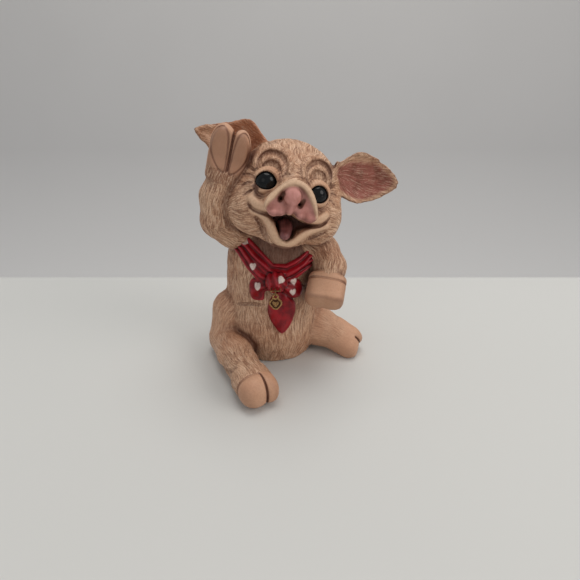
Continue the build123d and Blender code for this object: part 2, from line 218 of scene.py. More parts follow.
headShape = {
    "origin": (6.08, -7.74, 70.4),
    "turn": turnMatrix(0, 0, 5) @ turnMatrix(-13, 0, 0) @ turnMatrix(0, 11, 0),
    "halfSize": (21.6, 19.0, 19.4),  # of the whole head, for what is set by shares of it
    "skull": ((0, 1.5, 3.0), (19.8, 17.6, 18.4)),
    "swells": (  # cheek, chin and muzzle: centre, radii and blend
        ((11.2, -4.0, -5.6), (10.4, 11.6, 10.2), 6),
        ((0, -9.5, -9.6), (9.8, 10.6, 8.8), 4),
        ((0, -13.5, -2.5), (9.6, 8.0, 7.0), 4),
    ),
    "bridge": ((0, -10, 9), (0, -18.5, 3.0), 5.6, 4.6),
}
eyes = {
    "centres": ((-8.9, -15.9, 4.2), (8.9, -15.9, 2.7)),
    "radius": 4.0,
    "gap": 0.12,
    "lidShift": ((0.6, 0, -0.1), (-0.2, 0, -0.1)),
    "lidRing": 4.4,
    "lidBall": 4.2,
    "lidWidth": 0.85,
    "upperLid": 0.6,
}


# Skull, cheeks, muzzle and chin, in the head's own frame
def headBase(q):
    mirrored = np.column_stack([np.abs(q[:, 0]), q[:, 1], q[:, 2]])
    d = ball(mirrored, *headShape["skull"])
    for centre, radii, blend in headShape["swells"]:
        d = smoothMin(d, ball(mirrored, centre, radii), blend)
    return smoothMin(d, cone(mirrored, *headShape["bridge"]), 4)


# Lines drawn on the face, seen from the front
faceLines = {
    "jawRoll": (
        (-12.0, -6.2), (-8.4, -7.2), (-6.6, -8.6), (-5.2, -10.2), (-3.9, -12.3), (-1.9, -14.7), (0.8, -16.1),
        (3.5, -14.7), (5.5, -12.5), (8.2, -10.5), (11.2, -8.9), (14.4, -7.4),
    ),
    "mouth": (
        (-5.6, -6.6), (-4.2, -8.6), (-2.5, -11.2), (-0.6, -13.5), (0.8, -14.3), (2.7, -13.0), (4.2, -11.0),
        (6.0, -9.7), (9.0, -8.3), (6.2, -7.0), (3.2, -5.6), (0.6, -4.6), (-1.4, -5.8), (-3.6, -6.0),
    ),
    "lipPuffs": (((-13.0, -2.2), (-11.2, -3.6), (-8.2, -4.4)), ((8.2, -5.6), (10.9, -5.6), (13.4, -3.6))),
    "lipCreases": (
        ((-13.8, -3.6), (-12.4, -5.4), (-9.8, -6.3), (-5.0, -6.9)), ((8.2, -8.2), (10.6, -8.0), (12.8, -7.2), (15.0, -4.6)),
    ),
    "jawGrooves": (
        ((-10.4, -8.4), (-8.4, -10.4), (-7.2, -13.0), (-5.2, -16.2)), ((9.6, -13.0), (12.2, -11.0), (15.0, -9.2)),
    ),
    "crowFeet": (
        ((-13.2, 7.2), (-15.4, 8.4), (-17.6, 8.8)), ((-13.4, 5.2), (-15.8, 5.6), (-18.2, 5.2)),
        ((-13.2, 3.2), (-15.4, 2.6), (-17.6, 1.2)), ((-12.4, 1.0), (-14.4, -0.4), (-16.2, -2.4)),
        ((13.4, 5.6), (15.4, 6.8), (17.2, 7.0)), ((13.8, 3.6), (15.8, 3.9), (17.8, 3.4)),
        ((13.6, 1.8), (15.4, 1.0), (17.2, -0.4)),
    ),
    "brows": ((-7.8, 10.4, 8.7), (8.9, 9.9, 8.2)),  # middle, height of the outer arc and of the inner arc
}
browArcs = ((6.1, 1.35), (3.9, 1.1))  # reach and radius


def arcPoints(x, z, wide, high, degrees):
    return [(x + wide * math.cos(a), z + high * math.sin(a)) for a in np.radians(degrees)]


def headForm(q):
    x, y, z = q.T
    d = headBase(q)
    lift = np.where(y < 2, d, farAway)
    for (ex, _, ez), (browX, *browHeights) in zip(eyes["centres"], faceLines["brows"]):
        for height, (reach, radius) in zip(browHeights, browArcs):
            arc = arcPoints(browX, height, reach, 0.98 * reach, (-18, 15, 52, 90, 128, 165, 198))
            d = smoothMin(d, inkLine(x, z, lift + 0.1, arc, radius, 0.5), 0.6)
        pouch = arcPoints(ex, ez - 0.6, 5.2, 5.4, (200, 235, 270, 305, 340))
        d = smoothMin(d, inkLine(x, z, lift + 0.3, pouch, 1.1, 0.4), 0.8)
    d = smoothMin(d, inkLine(x, z, lift + 0.1, faceLines["jawRoll"], 1.8, 0.6), 0.8)
    for line in faceLines["lipPuffs"]:
        d = smoothMin(d, inkLine(x, z, lift + 0.1, line, 2.2, 0.75), 0.9)
    for line in faceLines["crowFeet"]:
        d = smoothMax(d, -inkLine(x, z, lift, line, 0.4, 0.15), 0.3)
    for line in faceLines["jawGrooves"]:
        d = smoothMax(d, -inkLine(x, z, d, line, 0.7, 0.3), 0.9)
    for line in faceLines["lipCreases"]:
        d = smoothMax(d, -inkLine(x, z, d, line, 0.55, 0.5), 0.5)
    hollow = smoothMax(outlineDistance(x, z, faceLines["mouth"]), y + 12.0, 2.0)
    d = smoothMax(d, -hollow, 0.8)
    for side, centre, shift in zip((-1, 1), eyes["centres"], eyes["lidShift"]):
        d = lidForm(d, q - np.array(centre), side, shift)
    return d


# A lid is a shell round the eye, open to the front, with its upper part wider and notched for lashes
def lidForm(d, fromCentre, side, shift):
    look = np.array([side * 0.2, -0.96, 0.2])
    e = fromCentre - shift
    ahead = e @ look
    flat = e - ahead[:, None] * look
    inward = np.minimum(np.hypot(np.hypot(flat[:, 0], flat[:, 1]), 1.13 * flat[:, 2]) - eyes["lidRing"], 0)
    outward = 1.25 * (np.linalg.norm(e, axis=1) - eyes["lidBall"])
    ring = np.sqrt(inward**2 + outward**2 + np.minimum(ahead, 0) ** 2)
    width = eyes["lidWidth"] + eyes["upperLid"] * smoothStep(-0.5, 2.5, e[:, 2])
    notch = 0.1 * smoothStep(1.0, 2.4, e[:, 2]) * np.cos(np.arctan2(e[:, 2], e[:, 0]) * 30)
    d = smoothMin(d, ring - width - notch, 0.6)
    return smoothMax(d, eyes["radius"] + eyes["gap"] - np.linalg.norm(fromCentre, axis=1), 0.3)


snoutShape = {
    "outline": (
        (-0.3, 6.5), (3.0, 5.9), (5.8, 4.0), (7.8, 1.2), (9.0, -2.2), (9.5, -4.8), (8.2, -6.5), (5.6, -6.8), (3.0, -5.9),
        (0.8, -4.9), (-0.6, -4.5), (-2.2, -5.4), (-4.2, -6.5), (-6.4, -6.2), (-8.2, -5.0), (-9.1, -3.2), (-8.4, -0.6),
        (-6.6, 1.7), (-4.4, 4.1), (-2.4, 5.8),
    ),
    "pink": (
        (-0.5, 4.0), (1.6, 4.0), (3.7, 2.9), (5.6, 0.7), (7.3, -1.9), (8.4, -4.3), (8.6, -6.6), (5.4, -7.4), (3.2, -6.4),
        (0.9, -5.4), (-0.6, -5.0), (-2.2, -6.0), (-4.2, -7.2), (-6.6, -6.5), (-7.9, -4.4), (-7.2, -2.4), (-5.9, -0.9),
        (-4.3, 1.4), (-2.4, 3.2),
    ),
    "root": -18.6,
    "waist": ((-2, 0, 4.2, 7.4, 9), (1.1, 1.0, 0.82, 0.97, 1.0)),  # how far out from its root, and the size there
    "front": -27.3,
    "back": -14,
    "pad": ((-0.1, -27.0, 0.7), (2.9, 1.4, 2.9)),
    "lip": ((0.1, -26.0, -1.8), (-0.3, -25.9, -4.2), 1.3, 1.1),
    "lobes": ((-2.9, -5.0, 1.0), (-5.4, -5.0, 1.6), (3.6, -4.9, 1.2), (6.6, -5.2, 1.7)),
    "nostrils": (((-3.1, 1.2), (-3.9, -0.9)), ((3.8, 0.1), (2.9, -1.8))),
}


def snoutForm(q):
    x, y, z = q.T
    size = np.interp(snoutShape["root"] - y, *snoutShape["waist"])
    flat = outlineDistance(x / size, z / size, snoutShape["outline"]) * size
    d = smoothMax(flat, snoutShape["front"] - y, 1.2)
    d = smoothMax(d, y - snoutShape["back"], 1)
    low = smoothStep(-3.4, -5.2, z)
    inner = outlineDistance(x, z, snoutShape["pink"])
    d = smoothMax(d, -smoothMax(inner + 0.7 * low, y + 26.2 - 0.6 * low, 1.4), 1.1)
    d = smoothMin(d, ball(q, *snoutShape["pad"]), 1.1)
    d = smoothMin(d, cone(q, *snoutShape["lip"]), 0.9)
    for bx, bz, radius in snoutShape["lobes"]:
        d = smoothMin(d, ball(q, (bx, -25.4, bz), (radius, radius, radius * 0.85)), 1.0)
    for (ax, az), (bx, bz) in snoutShape["nostrils"]:
        slot = cone(q, (ax, -26.3, az), (bx, -26.1, bz), 0.55, 0.8)
        hole = cone(q, (bx, -26, bz + 0.6), (bx * 0.85, -23.5, bz + 0.4), 0.8, 0.4)
        d = smoothMax(d, -np.minimum(slot, hole), 0.4)
    return d


# Ears, arms and legs

# Sides are -1 for the right ear, lifted behind the hoof, and 1 for the left one
earShape = {
    "length": 24.0,
    "halfWidth": 10.2,
    "cup": 18.0,
    "thickness": 2.0,
    "root": {-1: (-0.54, 0.26, 0.86), 1: (0.86, 0.1, 0.56)},  # shares of the head's half size
    "turn": {-1: turnMatrix(0, 2, -6), 1: turnMatrix(4, -5, 0)},
    "leaf": {
        -1: (
            (-0.1, 0.1), (0.02, 0.42), (0.26, 0.86), (0.6, 0.66), (0.86, 0.4), (1.03, 0.24), (1.05, -0.04), (0.88, -0.34),
            (0.68, -0.66), (0.34, -0.92), (0.0, -0.6), (-0.1, -0.3),
        ),
        1: (
            (-0.12, 0.5), (0.0, 0.6), (0.3, 0.98), (0.66, 0.72), (0.98, 0.0), (0.7, -0.66), (0.34, -0.92), (0.0, -0.6),
            (-0.12, -0.4),
        ),
    },
}


# The ear's own frame: X to the tip, Z across, hollow towards -Y
def earPlace(q, side):
    root = np.array(earShape["root"][side]) * headShape["halfSize"]
    return toLocal(q, root, earShape["turn"][side]) * (side, 1, 1)


# How far out of its curved middle sheet a point lies, and how far outside its outline
def earSheet(e, side):
    x, y, z = e.T
    shell = np.sqrt((x - earShape["length"] / 2) ** 2 + (y + earShape["cup"]) ** 2 + z**2) - earShape["cup"]
    outline = [(u * earShape["length"], v * earShape["halfWidth"]) for u, v in earShape["leaf"][side]]
    return shell, outlineDistance(x, z, outline)


def earForm(q, side):
    e = earPlace(q, side)
    shell, leaf = earSheet(e, side)
    ragged = latticeNoise(e * (0.45, 0.3, 1), 1.0, 31) - 0.35
    leaf = leaf + 0.9 * ragged * smoothStep(2.5, 6, e[:, 0])
    thickness = earShape["thickness"]
    thick = thickness * (0.75 + 0.45 * smoothStep(-3.5, -0.8, leaf))
    d = smoothMax(np.abs(shell - thickness / 2) - thick / 2, leaf, 1.2)
    return np.where(e[:, 1] > -earShape["cup"], d, farAway)


def onTorso(*shares):
    return [tuple(a * b for a, b in zip(share, torsoShape["size"])) for share in shares]


rightArm = {
    "points": onTorso(
        (-0.4, -0.1, 0.9), (-0.78, -0.3, 0.94), (-1.02, -0.46, 1.03), (-1.0, -0.54, 1.18), (-0.83, -0.58, 1.33),
    ),
    "radii": (5.6, 6.9, 7.2, 6.9, 6.3),
    "shorter": 3.0,  # the arm stops this far inside its hoof
}
leftArm = {
    "points": onTorso((0.62, -0.08, 0.84), (1.06, -0.2, 0.78), (1.22, -0.5, 0.7), (1.14, -0.86, 0.62)),
    "radii": (6.2, 6.8, 6.3, 5.7),
}
rightThigh = {"points": onTorso((-0.62, 0.0, 0.46), (-0.95, -0.24, 0.34), (-1.08, -0.4, 0.12)), "radii": (6.6, 7.5, 7.1)}
rightFoot = {"points": onTorso((-1.1, -0.4, 0.11), (-0.8, -1.15, 0.12), (-0.4, -2.08, 0.11)), "radii": (7.0, 7.2, 6.7)}
leftLeg = {"points": onTorso((0.45, 0.0, 0.2), (1.0, -0.12, 0.17), (1.46, -0.3, 0.12)), "radii": (8.7, 8.7, 7.1)}


# The frame at a limb's end: Z along the limb, X as near the world's X as it can be
def limbEnd(points):
    z = np.array(points[-1]) - np.array(points[-2])
    z /= np.linalg.norm(z)
    x = np.array([1.0, 0, 0]) - z[0] * z
    x /= np.linalg.norm(x)
    return np.array(points[-1]), np.column_stack([x, np.cross(z, x), z])


# Length runs along the limb. The cleft takes a share of it, and its gap has a half width and a depth. The tip drops
# away from each lobe's middle. The offset moves the cleft aside, the lean tilts the hoof, and hair stops at hairEnd
hoofs = {
    "right_fore_hoof": {
        "limb": rightArm, "halfWidth": 7.4, "halfThick": 6.5, "length": 17.0, "cleft": 0.86, "gap": (0.5, 1.2),
        "drop": 2.2, "offset": 0.6, "lean": -0.09, "blocky": False, "sole": True, "hairEnd": None,
    },
    "left_fore_hoof": {
        "limb": leftArm, "halfWidth": 7.7, "halfThick": 5.8, "length": 9.2, "cleft": 0, "gap": None,
        "drop": 0.3, "offset": 0, "lean": 0, "blocky": True, "sole": False, "hairEnd": 0.4,
    },
    "right_hind_hoof": {
        "limb": rightFoot, "halfWidth": 7.6, "halfThick": 6.4, "length": 13.0, "cleft": 0.56, "gap": (0.36, 0.8),
        "drop": 1.3, "offset": 1.6, "lean": 0.05, "blocky": False, "sole": False, "hairEnd": 5.4,
    },
    "left_hind_hoof": {
        "limb": leftLeg, "halfWidth": 7.3, "halfThick": 6.6, "length": 11.6, "cleft": 0.34, "gap": (0.36, 0.8),
        "drop": 0.9, "offset": 2.2, "lean": -0.16, "blocky": False, "sole": False, "hairEnd": None,
    },
}
soleShares = (
    (0.14, 0.12), (0.5, 0.2), (0.84, 0.42), (0.9, 0.66), (0.76, 0.86), (0.5, 0.95), (0.26, 0.87), (0.16, 0.66), (0.12, 0.36),
)


# How far a point lies from the cleft, and the hoof's half width on that side of it
def besideCleft(h, hoof):
    x = h[:, 0] - hoof["lean"] * h[:, 2]
    half = np.where(x < hoof["offset"], hoof["halfWidth"] + hoof["offset"], hoof["halfWidth"] - hoof["offset"])
    return np.abs(x - hoof["offset"]), half


# Distance to the almond drawn on each claw's sole
def soleLine(x, z, halfWidth, hoof):
    width = hoof["halfWidth"]
    return outlineDistance(x / halfWidth * width, z, [(a * width, b * hoof["length"]) for a, b in soleShares], 4)


# A rounded block with two lobes at its tip, in the hoof's frame
def hoofForm(h, hoof):
    y, z = h[:, 1], h[:, 2]
    fromCleft, half = besideCleft(h, hoof)
    x = np.abs(h[:, 0] - hoof["lean"] * z)
    halfThick, length = hoof["halfThick"], hoof["length"]
    power, domed, blend = (3.4, 0.0, 2.2) if hoof["blocky"] else (2.4, 0.04, 4.2)
    tube = ((x / hoof["halfWidth"]) ** power + (np.abs(y) / halfThick) ** power) ** (1 / power)
    tip = z - length + hoof["drop"] * (fromCleft / (0.52 * half) - 1) ** 2 + domed * y * y
    d = smoothMax((tube - 1) * halfThick, tip * 0.85, blend)
    d = smoothMax(d, -z - 3, 2)
    if hoof["sole"]:
        d = smoothMax(d, -y - 0.66 * halfThick - 2.4 * smoothStep(7, 0, z), 0.9)
        d = smoothMax(d, 0.34 - np.hypot(soleLine(fromCleft, z, half, hoof), d), 0.3)
    if hoof["cleft"]:
        width, depth = hoof["gap"]
        gap = fromCleft - np.clip(width + 0.35 * d, 0.05, width)
        gap = smoothMax(gap, (1 - hoof["cleft"]) * length - z, 0.6)
        d = smoothMax(d, -smoothMax(gap, -(d + depth), 0.4), 0.3)
    return d


def onGround(d, p):
    return smoothMax(d, -p[:, 2], 0.8)


tail = {"turns": 1.5, "curl": 3.4, "root": (0, 0.96 * 17.6, 14.4), "pitch": 3.6, "radii": (1.7, 1.15)}


def tailForm(p):
    angles = np.radians(np.arange(0, tail["turns"] * 360 + 1, 20))
    x, y, z = tail["root"]
    curl = tail["curl"]
    points = [(x + curl * math.cos(a), y + tail["pitch"] * a / (2 * math.pi), z - curl * math.sin(a)) for a in angles]
    radii = np.linspace(*tail["radii"], len(points))
    d = np.full(len(p), 1e3)
    for i in range(len(points) - 1):
        d = np.minimum(d, cone(p, points[i], points[i + 1], radii[i], radii[i + 1]))
    return d


def headPoints(p):
    return toLocal(p, headShape["origin"], headShape["turn"])


legCreases = (
    ((-23.4, 1.6), (-21.5, 3.3), (-19.2, 5.2), (-16.1, 7.5), (-12.6, 9.3)),
    ((-23.5, 27.3), (-21.0, 28.5), (-18.5, 28.3), (-16.0, 27.2), (-13.7, 25.1)),
)


def rightArmForm(p):
    hand, turn = limbEnd(rightArm["points"])
    return chain(p, rightArm["points"][:-1] + [tuple(hand - rightArm["shorter"] * turn[:, 2])], rightArm["radii"])


def rightLegForm(p):
    d = smoothMin(chain(p, **rightThigh), chain(p, **rightFoot), 1.5)
    d = smoothMin(d, ball(p, (-26.7, -3.5, 7.5), (1.9, 2.2, 2.4)), 1.5)
    for line in legCreases:
        d = smoothMax(d, -inkLine(p[:, 0], p[:, 2], np.where(p[:, 1] < 0, d, farAway), line, 0.75, 0.15), 1.0)
    return onGround(d, p)


# Each form's middle, how far it reaches, its distance, and how softly it joins what comes before it

forms = {
    "torso": ((0, 0, 30), 40, torsoForm, 0),
    "head": (headShape["origin"], 27, lambda p: headForm(headPoints(p)), 2.2),
    "snout": (headShape["origin"], 33, lambda p: snoutForm(headPoints(p)), 0.9),
    "right_ear": ((-15, -2, 90), 24, lambda p: earForm(headPoints(p), -1), 1.4),
    "left_ear": ((37, -5, 77), 24, lambda p: earForm(headPoints(p), 1), 1.4),
    "right_arm": ((-18, -8, 64), 27, rightArmForm, 1.6),
    "left_arm": ((20, -8, 43), 24, lambda p: chain(p, **leftArm), 2.0),
    "right_leg": ((-16, -14, 12), 38, rightLegForm, 1.3),
    "left_leg": ((20, -3, 10), 24, lambda p: onGround(chain(p, **leftLeg), p), 1.5),
    "tail": ((0, 20, 14), 12, tailForm, 1.2),
}


def addHoof(name, hoof):
    origin, turn = limbEnd(hoof["limb"]["points"])

    def form(p):
        d = hoofForm(toLocal(p, origin, turn), hoof)
        return onGround(d, p) if "hind" in name else d

    forms[name] = (origin + turn[:, 2] * hoof["length"] / 2, 16, form, 0.8)


for hoofName, hoof in hoofs.items():
    addHoof(hoofName, hoof)

formNames = list(forms)
outOfReach = 30.0


# The points near each form, by number, with their distances to it
def nearForms(p):
    for i, (centre, reach, form, blend) in enumerate(forms.values()):
        near = np.flatnonzero(((p - np.array(centre)) ** 2).sum(1) < (reach + 4) ** 2)
        if len(near):
            yield i, near, form(p[near]), blend


# One column of distances for each form
def partDistances(p):
    out = np.full((len(p), len(formNames)), outOfReach)
    for i, near, own, _ in nearForms(p):
        out[near, i] = own
    return out


def bodyDistance(p):
    d = np.full(len(p), outOfReach)
    for _, near, own, blend in nearForms(p):
        d[near] = smoothMin(d[near], own, blend) if blend else np.minimum(d[near], own)
    for hoof in hoofs.values():
        if not hoof["hairEnd"]:
            continue
        origin, turn = limbEnd(hoof["limb"]["points"])
        near = np.flatnonzero(((p - origin) ** 2).sum(1) < 14**2)
        if len(near):
            h = toLocal(p[near], origin, turn)
            beside = np.maximum(h[:, 0] - hoof["offset"], 0) if hoof["offset"] else 0
            cuff = np.sqrt((h[:, 2] - hoof["hairEnd"]) ** 2 + d[near] ** 2 + beside**2)
            d[near] = smoothMax(d[near], 0.42 - cuff, 0.35)
    return smoothMax(d, -p[:, 2], 0.5)


# From a distance to a mesh

def inBlocks(distance, p, size=400000):
    return np.concatenate([distance(p[i : i + size]) for i in range(0, len(p), size)])


# Quads on the zero surface: one point in each crossed cell, moved onto the surface
def surfaceNet(distance, low, high, step, factor=5):
    low, high = np.array(low, float), np.array(high, float)
    coarse = step * factor
    blocks = np.ceil((high - low) / coarse).astype(int)
    index = np.indices(blocks).reshape(3, -1).T
    middle = low + (index + 0.5) * coarse
    d = inBlocks(distance, middle)
    sign = np.where(d < 0, -1.0, 1.0).astype(np.float32).reshape(blocks)
    field = sign.repeat(factor, 0).repeat(factor, 1).repeat(factor, 2)
    active = index[np.abs(d) < coarse * 1.25 + 0.6]
    offsets = np.indices((factor,) * 3).reshape(3, -1).T
    for i in range(0, len(active), 4000):
        cells = (active[i : i + 4000, None, :] * factor + offsets[None]).reshape(-1, 3)
        field[cells[:, 0], cells[:, 1], cells[:, 2]] = distance(low + (cells + 0.5) * step)
    inside = field < 0
    corner = [slice(0, -1), slice(1, None)]
    count = sum(
        inside[corner[a], corner[b], corner[c]].astype(np.int8) for a in (0, 1) for b in (0, 1) for c in (0, 1)
    )
    crossed = (count > 0) & (count < 8)
    number = np.full(crossed.shape, -1, np.int32)
    number[crossed] = np.arange(crossed.sum())
    points = low + (np.argwhere(crossed) + 1.0) * step
    quads = []
    for axis in range(3):
        a, b = [k for k in range(3) if k != axis]
        first = np.moveaxis(inside, axis, 0)
        change = first[:-1] != first[1:]
        place = np.argwhere(change)
        place = place[(place[:, 1] > 0) & (place[:, 2] > 0)]
        place = place[(place[:, 1] < change.shape[1] - 1) & (place[:, 2] < change.shape[2] - 1)]
        grid = np.moveaxis(number, axis, 0)
        i, j, k = place.T
        ring = np.column_stack([grid[i, j - 1, k - 1], grid[i, j, k - 1], grid[i, j, k], grid[i, j - 1, k]])
        outward = first[i, j, k]
        flip = outward if axis != 1 else ~outward
        ring[~flip] = ring[~flip][:, ::-1]
        quads.append(ring)
    return points, np.concatenate(quads)


tetra = np.array([(1, 1, 1), (1, -1, -1), (-1, 1, -1), (-1, -1, 1)], float)


# Distance and outward direction at each point
def slope(distance, p, reach=0.12):
    values = [inBlocks(distance, p + reach * t) for t in tetra]
    normal = sum(v[:, None] * t for v, t in zip(values, tetra))
    normal /= np.maximum(np.linalg.norm(normal, axis=1), 1e-9)[:, None]
    return sum(values) / 4, normal


def neighbourMean(points, quads):
    total = np.zeros_like(points)
    count = np.zeros(len(points))
    for a, b in ((0, 1), (1, 2), (2, 3), (3, 0)):
        for i, j in ((a, b), (b, a)):
            np.add.at(total, quads[:, i], points[quads[:, j]])
            np.add.at(count, quads[:, i], 1)
    return total / np.maximum(count, 1)[:, None]


# Evens the points out along the surface and draws them onto it
def settle(distance, points, quads, step, rounds=3):
    for _ in range(rounds):
        mean = neighbourMean(points, quads)
        d, normal = slope(distance, mean, step * 0.4)
        points = mean - np.clip(d, -step, step)[:, None] * normal
    return points, normal


def netMesh(distance, low, high, step, rounds=3):
    points, quads = surfaceNet(distance, low, high, step)
    points, normal = settle(distance, points, quads, step, rounds)
    return points, quads, normal


net = {
    "step": 0.34,
    "clothStep": 0.3,
    "tongueStep": 0.3,
    "low": (-31, -52, -1.5),
    "high": (54, 29, 102),
}
points, quads, normal = netMesh(bodyDistance, net["low"], net["high"], net["step"])
stage(f"body net: {len(points)} points")

# Carved hair. Each part has its own direction, and strokes are noise drawn out along it

distances = inBlocks(partDistances, points)
owner = distances.argmin(1)


earSides = (("right_ear", -1), ("left_ear", 1))
hoofNames = tuple(hoofs)


def owned(*names):
    return np.isin(owner, [formNames.index(name) for name in names])


def alongChain(p, chainPoints):
    best = np.full(len(p), 1e6)
    out = np.zeros_like(p)
    for a, b in zip(chainPoints, chainPoints[1:]):
        a, b = np.array(a), np.array(b)
        e = b - a
        t = np.clip((p - a) @ e / (e @ e), 0, 1)
        d = np.linalg.norm(p - a - t[:, None] * e, axis=1)
        nearer = d < best
        best = np.where(nearer, d, best)
        out[nearer] = e / np.linalg.norm(e)
    return out


hair = {
    "swerve": 0.9,
    "swerveSize": 4.5,
    "coarse": (0.55, 1.9, 11),  # width and length of a stroke, and its seed
    "fine": (0.4, 1.2, 12),
    "depth": 0.24,
    "lumps": ((3.2, 5, 0.35), (1.3, 6, 0.12)),  # size, seed and height
    "bareHoof": 0.06,  # share of the full hair
    "leftLeg": 0.35,
}
flowLines = {
    "right_arm": rightArm["points"],
    "left_arm": leftArm["points"],
    "left_leg": leftLeg["points"],
    "right_leg": rightThigh["points"] + rightFoot["points"],
    "right_fore_hoof": rightArm["points"][-2:],
    "left_fore_hoof": leftArm["points"][-2:],
    "right_hind_hoof": rightFoot["points"][-2:],
    "left_hind_hoof": leftLeg["points"][-2:],
}


# Up the torso, away from the muzzle and the eyes on the head, outwards on the ears, and along the limbs
def hairFlow(p):
    flow = np.tile((0.0, 0.06, 1.0), (len(p), 1))
    flow[:, 0] += 0.012 * p[:, 0]
    q = headPoints(p)
    onHead = owned("head")
    away = q - (0, -13.0, -3.0)
    for ex, ey, ez in eyes["centres"]:
        near = (np.hypot(q[:, 0] - ex, q[:, 2] - ez) < 13) & (q[:, 2] > ez + 2) & (q[:, 1] < 0)
        away[near] = (q - (ex, ey, ez))[near]
    flow[onHead] = away[onHead] @ headShape["turn"].T
    for name, side in earSides:
        here = owned(name)
        e = earPlace(q[here], side)
        out = np.column_stack([e[:, 0] + 9, 0 * e[:, 0], e[:, 2]]) * (side, 1, 1)
        flow[here] = out @ (headShape["turn"] @ earShape["turn"][side]).T
    for name, line in flowLines.items():
        here = owned(name)
        flow[here] = alongChain(p[here], line)
    return flow


def tangent(flow, normal):
    flow = flow - (flow * normal).sum(1)[:, None] * normal
    return flow / np.maximum(np.linalg.norm(flow, axis=1), 1e-6)[:, None]


def strokes(p, flow, size, reach, seed):
    total = sum(latticeNoise(p + t * reach * flow, size, seed) for t in np.linspace(-1, 1, 9)) / 9
    return (total - total.mean()) / total.std()


flow = tangent(hairFlow(points), normal)
swerve = latticeNoise(points, hair["swerveSize"], 3) - 0.5
flow = tangent(flow + hair["swerve"] * swerve[:, None] * np.cross(normal, flow), normal)
coarseHair = strokes(points, flow, *hair["coarse"])
fineHair = strokes(points, flow, *hair["fine"])
groove = 0.6 * smoothStep(0.0, 1.6, coarseHair) + 0.5 * smoothStep(0.1, 1.6, fineHair)

# How hairy each point is, from 0 on bare resin to 1

headHere = headPoints(points)
faceX, faceY, faceZ = headHere.T
onFace = owned("head")
bareHoof = hair["bareHoof"]
hairy = np.ones(len(points))
hairy[owned("snout", "tail", *hoofNames)] = bareHoof
hairy[owned("left_leg")] = hair["leftLeg"]
footAxis = toLocal(points, *limbEnd(rightFoot["points"]))[:, 2]
hairy = np.where(owned("right_hind_hoof"), bareHoof + 0.8 * smoothStep(5.4, 4.8, footAxis), hairy)
handAxis = toLocal(points, *limbEnd(rightArm["points"]))[:, 2]
hairy = np.where(owned("right_fore_hoof"), bareHoof + 0.9 * smoothStep(3.6, 1.6, handAxis), hairy)
footAlong = (points - np.array(rightFoot["points"][1])) @ (0.29, -0.95, -0.01)
hairy = np.where(owned("right_leg"), 0.65 + 0.35 * smoothStep(3, 8, footAlong), hairy)
hairy = np.where(owned("torso"), 0.85 + 0.15 * smoothStep(10, 30, points[:, 2]), hairy)
lipLines = (faceLines["jawRoll"],) + faceLines["lipPuffs"]
lipDistance = np.min([linePath(faceX, faceZ, smoothLine(line))[0] for line in lipLines], axis=0)
fromMouth = outlineDistance(faceX, faceZ, faceLines["mouth"])
insideMouth = onFace & (fromMouth < 0.2) & (faceY < -6)
nearLip = onFace & (faceY < -8)
hairy = np.where(nearLip, hairy * smoothStep(1.0, 2.1, lipDistance), hairy)
eyeDistances = [np.linalg.norm(headHere - np.array(centre), axis=1) for centre in eyes["centres"]]
for around in eyeDistances:
    hairy = np.where(onFace, hairy * smoothStep(4.6, 6.4, around), hairy)
innerEar = np.zeros(len(points))
for name, side in earSides:
    here = owned(name)
    shell, leaf = earSheet(earPlace(headHere[here], side), 1)
    innerEar[here] = smoothStep(0.9, 0.3, shell) * smoothStep(-1.0, -2.6, leaf)
hairy = hairy * (1 - 0.3 * innerEar)
groove = groove * hairy
lumps = sum((latticeNoise(points, size, seed) - 0.5) * height for size, seed, height in hair["lumps"])
points = points + normal * (lumps * (0.25 + 0.75 * hairy) - hair["depth"] * groove)[:, None]
points[:, 2] = np.maximum(points[:, 2], 0)
stage("hair carved")

# How deep each point lies in a crease, from the body's distance a little way out. It sets the painted shade in the
# creases

creaseSteps = ((0.9, 0.3), (2.0, 0.4), (4.0, 0.3))  # reach and weight
crease = np.zeros(len(points))
for reach, weight in creaseSteps:
    crease += weight * np.clip(1 - inBlocks(bodyDistance, points + reach * normal) / reach, 0, 1)
stage("creases measured")


def vertexNormals(points, quads):
    corners = points[quads]
    face = np.cross(corners[:, 2] - corners[:, 0], corners[:, 3] - corners[:, 1])
    out = np.zeros_like(points)
    for k in range(4):
        np.add.at(out, quads[:, k], face)
    return out / np.maximum(np.linalg.norm(out, axis=1), 1e-9)[:, None]


surfaceNormal = vertexNormals(points, quads)

# Where each colour lies, from 0 to 1

earX, _, earZ = earPlace(headHere, 1).T
roseEdge = smoothStep(23.5, 20, earX + 0.06 * earZ**2) * smoothStep(8.2, 5.6, earZ + 1.2 * latticeNoise(points, 1.2, 41))
rose = innerEar * owned("left_ear") * roseEdge
onSnout = owned("snout")
pink = onSnout * smoothStep(0.7, -0.5, outlineDistance(faceX, faceZ, snoutShape["pink"])) * (faceY < -23.5)
pale = onSnout * smoothStep(-24, -26, faceY) * (1 - pink) * smoothStep(-6.5, -3, faceZ)
pale = np.maximum(pale, nearLip * 0.6 * smoothStep(1.6, 0.6, lipDistance) * ~insideMouth)
fromEye = np.min(eyeDistances, axis=0)
pale = np.maximum(pale, onFace * 0.45 * smoothStep(5.1, 4.7, fromEye))
bare = np.maximum(1 - hairy, 0) * owned("left_leg", "right_leg", *hoofNames)
darkPaintAndShade = np.where(insideMouth, smoothStep(0.6, -0.6, fromMouth), 0)
# Painted shade under the chin and on the throat, added to the mouth's own dark paint
darkPaintAndShade = np.maximum(darkPaintAndShade, 0.85 * smoothStep(-17, -19.5, faceZ) * onFace * (faceY < 4))
underChin = np.hypot(points[:, 0] - 3, (points[:, 2] - 50) * 1.2)
throatShade = smoothStep(16, 9, underChin) * (points[:, 1] < -4) * owned("torso", "head")
darkPaintAndShade = np.maximum(darkPaintAndShade, 0.8 * throatShade * (faceZ < -16.5))
darkPaintAndShade = np.maximum(darkPaintAndShade, onFace * 0.8 * smoothStep(4.75, 4.35, fromEye))
